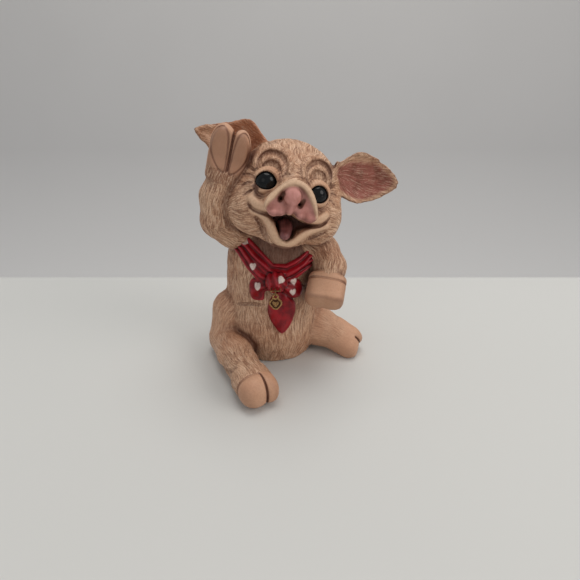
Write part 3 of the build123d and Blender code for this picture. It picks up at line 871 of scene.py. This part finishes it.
for nostril in snoutShape["nostrils"]:
    darkPaintAndShade = np.maximum(darkPaintAndShade, onSnout * smoothStep(0.95, 0.3, linePath(faceX, faceZ, nostril)[0]))
raisedHoof = hoofs["right_fore_hoof"]
solePlace = toLocal(points, *limbEnd(rightArm["points"]))
fromCleft, half = besideCleft(solePlace, raisedHoof)
line = np.abs(soleLine(fromCleft, solePlace[:, 2], half, raisedHoof))
sole = owned("right_fore_hoof") * smoothStep(-2.4, -3.4, solePlace[:, 1])
# The sole's outline is drawn into the same measure, so it paints as a dark line along with the crease shade
crease = np.maximum(crease, sole * 0.6 * smoothStep(0.5, 0.1, line))

# Colours and materials


# A colour as the shader wants it, from its sRGB hex
def shade(hexColour):
    parts = [int(hexColour[i : i + 2], 16) / 255 for i in (1, 3, 5)]
    return tuple(c / 12.92 if c <= 0.04045 else ((c + 0.055) / 1.055) ** 2.4 for c in parts) + (1.0,)


def inks(paint):
    return {key: shade(colour) for key, colour in paint["colours"].items()}


def newMaterial(name):
    material = bpy.data.materials.new(name)
    material.use_nodes = True
    tree = material.node_tree
    return material, tree, tree.nodes["Principled BSDF"]


# A node with its settings, and its inputs given as values or as other nodes' sockets
def addNode(tree, kind, settings=None, **inputs):
    node = tree.nodes.new(kind)
    for key, value in (settings or {}).items():
        setattr(node, key, value)
    for key, value in inputs.items():
        socket = node.inputs[int(key[1:])] if key[0] == "_" and key[1:].isdigit() else node.inputs[key.replace("_", " ")]
        if isinstance(value, bpy.types.NodeSocket):
            tree.links.new(value, socket)
        else:
            socket.default_value = value
    return node


def mixColour(tree, factor, first, second, mode="MIX"):
    node = addNode(tree, "ShaderNodeMix", {"data_type": "RGBA", "blend_type": mode}, _0=factor, _6=first, _7=second)
    return node.outputs[2]


def attribute(tree, name):
    return addNode(tree, "ShaderNodeAttribute", {"attribute_name": name}).outputs["Fac"]


def noise(tree, coordinates, perMetre, detail=3.0):
    return addNode(tree, "ShaderNodeTexNoise", None, Vector=coordinates, Scale=perMetre, Detail=detail).outputs["Fac"]


def spread(tree, value, low, high, out0=0.0, out1=1.0):
    return addNode(tree, "ShaderNodeMapRange", None, _0=value, _1=low, _2=high, _3=out0, _4=out1).outputs[0]


def arithmetic(tree, kind, first, second):
    return addNode(tree, "ShaderNodeMath", {"operation": kind}, _0=first, _1=second).outputs[0]


def times(tree, first, second):
    return arithmetic(tree, "MULTIPLY", first, second)


def objectPlace(tree):
    return addNode(tree, "ShaderNodeTexCoord").outputs["Object"]


# Lays colours over one another, each where its factor says
def layered(tree, colour, *layers):
    for factor, over in layers:
        colour = mixColour(tree, factor, colour, over)
    return colour


def finishPaint(tree, surface, colour, roughness, strength=0, depth=0, relief=None):
    tree.links.new(colour, surface.inputs["Base Color"])
    tree.links.new(roughness, surface.inputs["Roughness"])
    if relief:
        bump = addNode(tree, "ShaderNodeBump", None, Strength=strength, Distance=depth, Height=relief)
        tree.links.new(bump.outputs["Normal"], surface.inputs["Normal"])


# Noise averaged along the carved hair's direction, so it shows as strokes
def drawnOut(tree, place, perMetre, reach, taps=6):
    direction = addNode(tree, "ShaderNodeAttribute", {"attribute_name": "flow"}).outputs["Vector"]
    total = None
    for i in range(taps):
        offset = reach * (2 * i / (taps - 1) - 1)
        step = (offset, offset, offset)
        moved = addNode(tree, "ShaderNodeVectorMath", {"operation": "MULTIPLY_ADD"}, _0=direction, _1=step, _2=place)
        value = noise(tree, moved.outputs[0], perMetre, 1.0)
        total = value if total is None else arithmetic(tree, "ADD", total, value)
    return arithmetic(tree, "DIVIDE", total, float(taps))


resinPaint = {
    "strokesPerMetre": 2300,
    "strokeReach": 1.1 * mm,
    "specular": 0.4,
    "bump": 0.8,
    "bumpDepth": 0.00014,
    "colours": {
        "coat": "#d6ae8e", "deepCoat": "#c08f6e", "rust": "#b87048", "bare": "#c99a7c",
        "pink": "#c98b83", "deepPink": "#b3756b", "rose": "#9b4f47", "deepRose": "#7b3a33",
        "sole": "#936a52", "pale": "#e2bf9f", "speck": "#a3745a", "rubbed": "#ecd2b6",
        "wash": "#7a4a31", "stroke": "#6f422c", "creaseShadeAndSoleLine": "#5a3020", "darkPaintAndShade": "#633d30",
    },
}


# Peach paint over carved resin, brown wash left in the grooves, rubbed pale on the high places, with painted shade in
# the creases and under the chin and throat
def paintedResin():
    material, tree, surface = newMaterial("painted_resin")
    ink = inks(resinPaint)
    place = objectPlace(tree)
    hairShare = attribute(tree, "hair")
    broad = spread(tree, noise(tree, place, 90), 0.35, 0.65)
    speck = spread(tree, noise(tree, place, 1400, 4), 0.4, 0.7)
    patch = spread(tree, noise(tree, place, 260), 0.45, 0.65)
    stroke = drawnOut(tree, place, resinPaint["strokesPerMetre"], resinPaint["strokeReach"])
    lowStroke = times(tree, spread(tree, stroke, 0.49, 0.58), hairShare)
    highStroke = times(tree, spread(tree, stroke, 0.5, 0.42), hairShare)
    wash = times(tree, attribute(tree, "groove"), spread(tree, patch, 0, 1, 0.35, 0.6))
    # Painted shade: the crease measure darkens the paint in creases and hollows
    creaseShadeAndSoleLine = spread(tree, attribute(tree, "crease"), 0.12, 0.75)
    colour = layered(
        tree,
        mixColour(tree, broad, ink["coat"], ink["deepCoat"]),
        (attribute(tree, "rust"), ink["rust"]),
        (times(tree, attribute(tree, "bare"), 0.8), ink["bare"]),
        (attribute(tree, "pink"), mixColour(tree, patch, ink["pink"], ink["deepPink"])),
        (times(tree, attribute(tree, "rose"), 0.92), mixColour(tree, patch, ink["rose"], ink["deepRose"])),
        (times(tree, attribute(tree, "sole"), 0.6), ink["sole"]),
        (attribute(tree, "pale"), ink["pale"]),
        (times(tree, speck, 0.25), ink["speck"]),
        (times(tree, highStroke, 0.5), ink["rubbed"]),
        (wash, ink["wash"]),
        (times(tree, lowStroke, 0.72), ink["stroke"]),
        (times(tree, creaseShadeAndSoleLine, 0.85), ink["creaseShadeAndSoleLine"]),
        # Dark paint in the mouth, nostrils and round the eyes, and painted shade under the chin and throat
        (attribute(tree, "darkPaintAndShade"), ink["darkPaintAndShade"]),
    )
    relief = arithmetic(tree, "SUBTRACT", times(tree, noise(tree, place, 2600, 5), 0.25), lowStroke)
    roughness = spread(tree, patch, 0, 1, 0.5, 0.68)
    finishPaint(tree, surface, colour, roughness, resinPaint["bump"], resinPaint["bumpDepth"], relief)
    surface.inputs["Specular IOR Level"].default_value = resinPaint["specular"]
    return material


# A mesh from points in millimetres
def makePiece(name, points, faces, material, normals=None, attributes=None):
    mesh = bpy.data.meshes.new(name)
    mesh.from_pydata((points * mm).tolist(), [], faces.tolist())
    mesh.polygons.foreach_set("use_smooth", np.ones(len(mesh.polygons), bool))
    for key, values in (attributes or {}).items():
        kind, field = ("FLOAT_VECTOR", "vector") if values.ndim > 1 else ("FLOAT", "value")
        layer = mesh.attributes.new(key, kind, "POINT")
        layer.data.foreach_set(field, np.ascontiguousarray(values, np.float32).ravel())
    if normals is not None:
        mesh.normals_split_custom_set_from_vertices(normals.tolist())
    mesh.materials.append(material)
    piece = bpy.data.objects.new(name, mesh)
    bpy.context.scene.collection.objects.link(piece)
    return piece


# The chosen faces and the points they use
def part(points, faces, chosen):
    faces = faces[chosen]
    used = np.unique(faces)
    number = np.full(len(points), -1)
    number[used] = np.arange(len(used))
    return used, number[faces]


# The lower jaw is the part of the head's front below the mouth, narrower towards the chin
jawTop, jawBack = -6.0, -5.7
jaw = onFace & (faceZ < jawTop) & (faceY < jawBack)
jaw &= np.abs(faceX) < np.interp(faceZ, (-19.4, -5.8), (6.5, 13.8))
region = owner.copy()
regionNames = formNames + ["lower_jaw"]
region[jaw] = len(formNames)
faceRegion = region[quads[:, 0]]
faceDepth = points[quads[:, 0], 1]
resin = paintedResin()
rust = 0.85 * owned("right_ear") * smoothStep(21, 16, earPlace(headHere, -1)[:, 0])
# Less painted shade on the right ear's rust paint
crease = crease * (1 - 0.5 * rust)
bodyAttributes = {
    "groove": groove, "crease": crease, "pink": pink, "bare": bare, "darkPaintAndShade": darkPaintAndShade, "hair": hairy,
    "rust": rust, "rose": rose, "pale": pale, "sole": sole, "flow": flow,
}
halved = ("torso", "head")  # front and back, so that no piece holds too many faces


def resinSlot(name):
    if "hoof" in name:
        return "resin_hoof"
    return "resin_snout" if name == "snout" else "resin_tan"


for index, name in enumerate(regionNames):
    chosen = faceRegion == index
    shares = {"": chosen}
    if name in halved:
        behind = faceDepth > np.median(faceDepth[chosen])
        shares = {"": chosen & ~behind, "_back": chosen & behind}
    for ending, share in shares.items():
        used, faces = part(points, quads, share)
        values = {key: value[used] for key, value in bodyAttributes.items()}
        piece = makePiece(f"{name}{ending}_cast", points[used], faces, resin, surfaceNormal[used], values)
        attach(piece, "figurine")
        resinSlot(name)
        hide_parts(name)
stage("casting pieces made")

# Neckerchief, laid on the chest


def torsoOutline(*shares):
    return [(x * torsoShape["size"][0], z * torsoShape["size"][2]) for x, z in shares]


kerchief = {
    "bandFront": torsoOutline(
        (-1.3, 0.95), (-0.86, 0.95), (-0.45, 0.915), (-0.2, 0.84), (0.05, 0.76), (0.3, 0.755), (0.6, 0.79), (0.86, 0.84),
        (1.3, 0.84), (1.3, 0.7), (0.86, 0.71), (0.5, 0.65), (0.08, 0.6), (-0.28, 0.65), (-0.5, 0.72), (-0.7, 0.8),
        (-0.86, 0.84), (-1.3, 0.84),
    ),
    "bandBack": torsoOutline(
        (-1.3, 0.91), (-0.86, 0.91), (0.86, 0.82), (1.3, 0.82), (1.3, 0.7), (0.86, 0.7), (-0.86, 0.79), (-1.3, 0.79),
    ),
    "rightEnd": (
        (0.6, 40.6), (-3.6, 40.4), (-8.0, 39.0), (-9.0, 35.4), (-8.2, 31.6), (-5.8, 30.8), (-3.0, 31.4), (-2.4, 34.6),
        (0.8, 35.8),
    ),
    "leftEnd": (
        (3.2, 39.6), (7.2, 40.4), (11.2, 38.2), (12.8, 34.8), (12.2, 32.0), (8.8, 31.2), (6.2, 33.0), (3.4, 36.0),
    ),
    "flap": (
        (2.0, 34.4), (-1.0, 30.5), (-1.5, 25.2), (0.8, 20.2), (4.2, 16.6), (7.8, 20.0), (9.8, 25.8), (9.2, 30.0),
        (5.5, 33.8),
    ),
    "knot": (1.96, -18.13, 39.3),
    "knotRadii": (4.5, 3.9, 4.1),
    "hearts": (  # across, height and turn in degrees
        (-10.2, 53.3, 60), (-7.3, 44.4, -10), (-5.4, 36.9, 0), (9.0, 38.2, 10), (8.6, 34.4, 0), (-15.5, 51.0, 30),
        (17.5, 49.5, 15),
    ),
    "backHearts": ((-10, 50.5, 10), (-4, 49.0, -20), (2.5, 47.8, 15), (9, 46.8, -10)),
    "heartSize": 1.3,
    "knotHeart": (4.2, 41.6, -35),
    "knotHeartSize": 1.6,
    "knotFront": -19.8,
}


def bandForm(p):
    lift = torsoForm(p)
    front = outlineDistance(p[:, 0], p[:, 2], kerchief["bandFront"], 1)
    back = outlineDistance(p[:, 0], p[:, 2], kerchief["bandBack"], 1)
    d = np.where(p[:, 1] < 0, front, back)
    ease = smoothStep(-0.4, -1.6, d)
    fold = ease * (0.6 * np.sin(d * 2.1 + 3.0 * latticeNoise(p, 7, 21)) + 0.5 * (latticeNoise(p, 3.5, 22) - 0.5))
    return smoothMax(np.abs(lift - 0.6) - 1.15 - fold, d, 1.2)


def fromKnot(p):
    away = p - np.array(kerchief["knot"])
    return away, np.arctan2(away[:, 2], away[:, 0])


def clothForm(p, outline, thick, folds, swell):
    lift = torsoForm(p)
    d = np.maximum(outlineDistance(p[:, 0], p[:, 2], kerchief[outline]), p[:, 1] + 4)
    angle = fromKnot(p)[1]
    ridge = 0.65 * np.sin(angle * folds + 2 * latticeNoise(p, 5, 23)) + 0.4 * (latticeNoise(p, 2.4, 24) - 0.5)
    top = thick * 0.62 + swell * smoothStep(0, -4.0, d) + ridge * smoothStep(0, -1.5, d)
    return smoothMax(np.abs(lift - top / 2 + 0.3) - top / 2 - 0.3, d, 1.4)


def knotForm(p):
    away, angle = fromKnot(p)
    folds = np.sin(away[:, 0] * 2.0 + 0.7 * away[:, 2] + np.sin(angle * 2))
    return ball(p, kerchief["knot"], kerchief["knotRadii"]) - 0.28 * folds * smoothStep(0.5, 3, np.abs(away[:, 1] - 6))


kerchiefForms = {
    "bandana_band": bandForm,
    "bandana_right_end": lambda p: clothForm(p, "rightEnd", 2.8, 9, 0.5),
    "bandana_left_end": lambda p: clothForm(p, "leftEnd", 2.8, 9, 0.5),
    "bandana_tail": lambda p: clothForm(p, "flap", 2.4, 7, 0.9),
    "bandana_knot": knotForm,
}


# Below 0 inside a heart drawn on the cloth
def heartMark(u, v, heart, size):
    x, z, degrees = heart
    c, s = math.cos(math.radians(degrees)), math.sin(math.radians(degrees))
    a, b = ((u - x) * c + (v - z) * s) / size, (-(u - x) * s + (v - z) * c) / size
    return a**2 + (b - 0.75 * np.sqrt(np.abs(a) + 0.02) + 0.25) ** 2 - 0.85


clothPaint = {
    "specular": 0.3,
    "colours": {
        "crimson": "#96101b", "deepCrimson": "#720913", "fleck": "#ad1f2a", "crease": "#3a050a", "valleyShade": "#3c070e",
        "ridge": "#c23a46", "mark": "#e6d6cc",
    },
}


# Crimson gloss paint with white marks, with painted shade where the folds meet and in their valleys, and a painted
# highlight on their ridges
def paintedCloth():
    material, tree, surface = newMaterial("crimson_gloss_paint")
    ink = inks(clothPaint)
    place = objectPlace(tree)
    broad = spread(tree, noise(tree, place, 300), 0.4, 0.6)
    patchy = spread(tree, noise(tree, place, 1800, 3), 0.3, 0.6, 0.75, 1.0)
    colour = layered(
        tree,
        mixColour(tree, broad, ink["crimson"], ink["deepCrimson"]),
        (spread(tree, noise(tree, place, 1500, 4), 0.55, 0.75, 0, 0.3), ink["fleck"]),
        # Painted shade where the folds meet and against the body
        (spread(tree, attribute(tree, "crease"), 0.15, 0.8, 0, 0.9), ink["crease"]),
        # Painted shade in the fold valleys and a painted highlight on the fold ridges
        (spread(tree, attribute(tree, "bend"), -0.2, -1.8, 0, 0.8), ink["valleyShade"]),
        (spread(tree, attribute(tree, "bend"), 0.5, 2.2, 0, 0.6), ink["ridge"]),
        (times(tree, attribute(tree, "mark"), patchy), ink["mark"]),
    )
    roughness = spread(tree, broad, 0, 1, 0.28, 0.42)
    finishPaint(tree, surface, colour, roughness, 0.3, 0.00012, noise(tree, place, 1500, 4))
    surface.inputs["Specular IOR Level"].default_value = clothPaint["specular"]
    return material


def kerchiefDistances(p):
    return np.column_stack([form(p) for form in kerchiefForms.values()])


def kerchiefDistance(p):
    band, rightEnd, leftEnd, flap, knot = kerchiefDistances(p).T
    d = smoothMin(band, np.minimum(rightEnd, leftEnd), 0.5)
    return smoothMin(smoothMin(d, flap, 0.3), knot, 0.5)


clothBox = ((-25, -25, 14), (25, 20, 58))
clothPoints, clothQuads, clothNormal = netMesh(kerchiefDistance, *clothBox, net["clothStep"], 2)
clothOwner = inBlocks(kerchiefDistances, clothPoints).argmin(1)
# Painted shade: how closed in each point is by the cloth and the body a little way out
clothCrease = np.zeros(len(clothPoints))
for reach, weight in ((0.7, 0.5), (2.0, 0.5)):
    out = clothPoints + reach * clothNormal
    near = np.minimum(inBlocks(kerchiefDistance, out), inBlocks(bodyDistance, out))
    clothCrease += weight * np.clip(1 - near / reach, 0, 1)
clothX, clothY, clothZ = clothPoints.T
marks = [(heart, kerchief["heartSize"], clothY < 0) for heart in kerchief["hearts"]]
marks += [(heart, kerchief["heartSize"], clothY > 0) for heart in kerchief["backHearts"]]
marks.append((kerchief["knotHeart"], kerchief["knotHeartSize"], clothY < kerchief["knotFront"]))
mark = np.zeros(len(clothPoints))
for heart, size, where in marks:
    mark = np.maximum(mark, smoothStep(0.25, -0.25, heartMark(clothX, clothZ, heart, size)) * where)
clothNormal = vertexNormals(clothPoints, clothQuads)
# How far each point stands out of its neighbours, smoothed, for the painted shade in the valleys and the painted
# highlight on the ridges
bend = ((clothPoints - neighbourMean(clothPoints, clothQuads)) * clothNormal).sum(1)[:, None]
for _ in range(4):
    bend = neighbourMean(bend, clothQuads)
bend = bend[:, 0] / bend.std()
cloth = paintedCloth()
for index, name in enumerate(kerchiefForms):
    used, faces = part(clothPoints, clothQuads, clothOwner[clothQuads[:, 0]] == index)
    values = {"crease": clothCrease[used], "mark": mark[used], "bend": bend[used]}
    piece = makePiece(f"{name}_cloth", clothPoints[used], faces, cloth, clothNormal[used], values)
    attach(piece, "figurine")
    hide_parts(name)
stage("neckerchief made")

# Tongue


tongue = {
    "shares": (0, -0.86, -0.56),  # its middle, in shares of the head's half size
    "tilt": 24,
    "balls": (((0, 0, 0), (2.6, 6.3, 2.4)), ((0, 3, 0.2), (2.6, 4.2, 2.4))),
    "grooveHeight": 2.7,
    "grooveRadius": 0.55,
    "colours": {"mauve": "#8a5350", "deepMauve": "#6d3d3b", "root": "#331512"},
}


def tongueForm(p):
    middle = np.array(tongue["shares"]) * headShape["halfSize"]
    t = toLocal(headPoints(p), middle, turnMatrix(tongue["tilt"], 0, 0))
    tip, root = (ball(t, *values) for values in tongue["balls"])
    d = smoothMin(tip, root, 1.5)
    return smoothMax(d, tongue["grooveRadius"] - np.hypot(t[:, 0], t[:, 2] - tongue["grooveHeight"]), 0.8)


# Mauve satin paint, darker at the root and in the middle groove: painted shade where the mouth closes round it
def paintedTongue():
    material, tree, surface = newMaterial("mauve_satin_paint")
    ink = inks(tongue)
    place = objectPlace(tree)
    colour = mixColour(tree, spread(tree, noise(tree, place, 500), 0.4, 0.65), ink["mauve"], ink["deepMauve"])
    # Painted shade where the mouth closes round the tongue
    colour = mixColour(tree, attribute(tree, "crease"), colour, ink["root"])
    roughness = spread(tree, noise(tree, place, 900), 0.3, 0.7, 0.35, 0.5)
    finishPaint(tree, surface, colour, roughness, 0.3, 0.0001, noise(tree, place, 1800, 4))
    return material


low, high = (np.array(corner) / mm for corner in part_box("tongue"))
tonguePoints, tongueQuads, tongueNormal = netMesh(tongueForm, low - 2, high + 2, net["tongueStep"], 2)
# Painted shade: how closed in each point is by the mouth a little way out
tongueCrease = np.clip(1 - inBlocks(bodyDistance, tonguePoints + 1.5 * tongueNormal) / 1.5, 0, 1)
tongueNormal = vertexNormals(tonguePoints, tongueQuads)
tonguePiece = makePiece("tongue_cast", tonguePoints, tongueQuads, paintedTongue(), tongueNormal, {"crease": tongueCrease})
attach(tonguePiece, "figurine")
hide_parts("tongue")
stage("tongue made")

# Glass eyes and the hanging charm keep their solids

glassPaint = {"specular": 0.22, "colours": {"black": "#0b0c0f", "green": "#15191a"}}
bronzePaint = {"metallic": 0.85, "colours": {"brown": "#3a2318", "lightBrown": "#5b3a26", "worn": "#c9a06a"}}


# Near-black glass with a faint green depth and a hard gloss
def blackGlass():
    material, tree, surface = newMaterial("black_glass")
    ink = inks(glassPaint)
    place = objectPlace(tree)
    colour = mixColour(tree, spread(tree, noise(tree, place, 400), 0.3, 0.7), ink["black"], ink["green"])
    finishPaint(tree, surface, colour, spread(tree, noise(tree, place, 700), 0.3, 0.7, 0.04, 0.09))
    surface.inputs["Specular IOR Level"].default_value = glassPaint["specular"]
    return material


# Dark aged bronze, rubbed bright on its high places
def oldBronze():
    material, tree, surface = newMaterial("old_bronze")
    ink = inks(bronzePaint)
    place = objectPlace(tree)
    edge = addNode(tree, "ShaderNodeNewGeometry").outputs["Pointiness"]
    worn = times(tree, spread(tree, edge, 0.5, 0.58), spread(tree, noise(tree, place, 2500, 4), 0.3, 0.6))
    colour = mixColour(tree, spread(tree, noise(tree, place, 1800, 4), 0.35, 0.65), ink["brown"], ink["lightBrown"])
    colour = mixColour(tree, worn, colour, ink["worn"])
    roughness = spread(tree, noise(tree, place, 1200, 3), 0.3, 0.7, 0.35, 0.6)
    finishPaint(tree, surface, colour, roughness, 0.5, 0.00008, noise(tree, place, 4000, 4))
    surface.inputs["Metallic"].default_value = bronzePaint["metallic"]
    return material


def dress(nodeName, material):
    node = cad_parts[nodeName]
    node.data.materials.clear()
    node.data.materials.append(material)


glass, bronze = blackGlass(), oldBronze()
for nodeName in ("right_eye", "left_eye"):
    dress(nodeName, glass)
for nodeName in ("pendant_staple", "pendant_ring", "pendant_charm"):
    dress(nodeName, bronze)
stage("eyes and charm painted")

# Floor, light and camera


board = {"side": 2.0, "front": -1.5, "back": 0.07, "round": 0.008, "lip": -0.03, "below": 0.00002, "colour": "#d0d1ce"}
wall = {"back": 0.8, "foot": -0.9, "top": 1.6, "colour": "#cdccca", "paintedLightAtFoot": "#f2f1ee"}


def stageMaterial(name, colour, paintedLightAtFoot=None):
    material, tree, surface = newMaterial(name)
    place = objectPlace(tree)
    soft = spread(tree, noise(tree, place, 6, 2), 0.3, 0.7, 0, 0.5)
    darker = tuple(0.96 * c for c in shade(colour)[:3]) + (1.0,)
    painted = mixColour(tree, soft, shade(colour), darker)
    if paintedLightAtFoot:
        # Painted light: the wall turns paler towards its foot
        height = addNode(tree, "ShaderNodeSeparateXYZ", None, Vector=place).outputs[2]
        painted = mixColour(tree, spread(tree, height, -0.03, -0.34), painted, shade(paintedLightAtFoot))
    tree.links.new(painted, surface.inputs["Base Color"])
    surface.inputs["Roughness"].default_value = 0.8
    return material


# A sheet drawn by its profile, from front to back
def makeSheet(name, profile, material):
    vertices = [(x, y, z - board["below"]) for y, z in profile for x in (-board["side"], board["side"])]
    faces = [(2 * i, 2 * i + 1, 2 * i + 3, 2 * i + 2) for i in range(len(profile) - 1)]
    mesh = bpy.data.meshes.new(name)
    mesh.from_pydata(vertices, [], faces)
    mesh.polygons.foreach_set("use_smooth", [True] * len(faces))
    mesh.materials.append(material)
    sheet = bpy.data.objects.new(name, mesh)
    bpy.context.scene.collection.objects.link(sheet)


# A level white board with a rounded back edge, and a grey wall far behind, with painted light paling the wall towards
# its foot
back, bendRadius = board["back"], board["round"]
profile = [(board["front"], 0.0), (back, 0.0)]
for a in np.radians(np.arange(10, 91, 10)):
    profile.append((back + bendRadius * math.sin(a), -bendRadius + bendRadius * math.cos(a)))
profile.append((back + bendRadius, board["lip"]))
makeSheet("floor", profile, stageMaterial("floor_paint", board["colour"]))
wallProfile = [(wall["back"], wall["foot"]), (wall["back"], wall["top"])]
makeSheet("wall", wallProfile, stageMaterial("wall_paint", wall["colour"], wall["paintedLightAtFoot"]))


lights = {  # place, size, watts and colour
    "top_light": ((0.1, 0.15, 1.1), 0.8, 5.6, "#fffcf8"),
    "front_light": ((-0.5, -0.8, 0.5), 0.6, 0.5, "#fff6ee"),
    "right_light": ((0.7, -0.35, 0.5), 0.5, 2.0, "#fff8f2"),
}
lightTarget = Vector((0, 0, 0.05))
studio = {"colour": "#e8e8ea", "strength": 0.55}
view = {"focalPixels": 430, "picturePixels": 580, "sensor": 36, "place": (0.0075, -0.171, 0.112), "down": 26.46}

for name, (place, size, watts, colour) in lights.items():
    data = bpy.data.lights.new(name, "AREA")
    data.shape = "DISK"
    data.size = size
    data.energy = watts
    data.color = shade(colour)[:3]
    light = bpy.data.objects.new(name, data)
    light.location = place
    light.rotation_euler = (lightTarget - Vector(place)).to_track_quat("-Z", "Y").to_euler()
    bpy.context.scene.collection.objects.link(light)
world = bpy.data.worlds.new("studio")
world.use_nodes = True
world.node_tree.nodes["Background"].inputs["Color"].default_value = shade(studio["colour"])
world.node_tree.nodes["Background"].inputs["Strength"].default_value = studio["strength"]
bpy.context.scene.world = world
bpy.context.scene.view_settings.view_transform = "Standard"

cameraData = bpy.data.cameras.new("camera")
cameraData.lens = view["sensor"] * view["focalPixels"] / view["picturePixels"]
cameraData.sensor_width = view["sensor"]
cameraData.clip_start = 0.005
camera = bpy.data.objects.new("camera", cameraData)
camera.location = view["place"]
camera.rotation_euler = (math.radians(90 - view["down"]), 0, 0)
bpy.context.scene.collection.objects.link(camera)
bpy.context.scene.camera = camera
stage("floor, lights and camera set")

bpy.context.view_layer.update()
stage("scene ready")
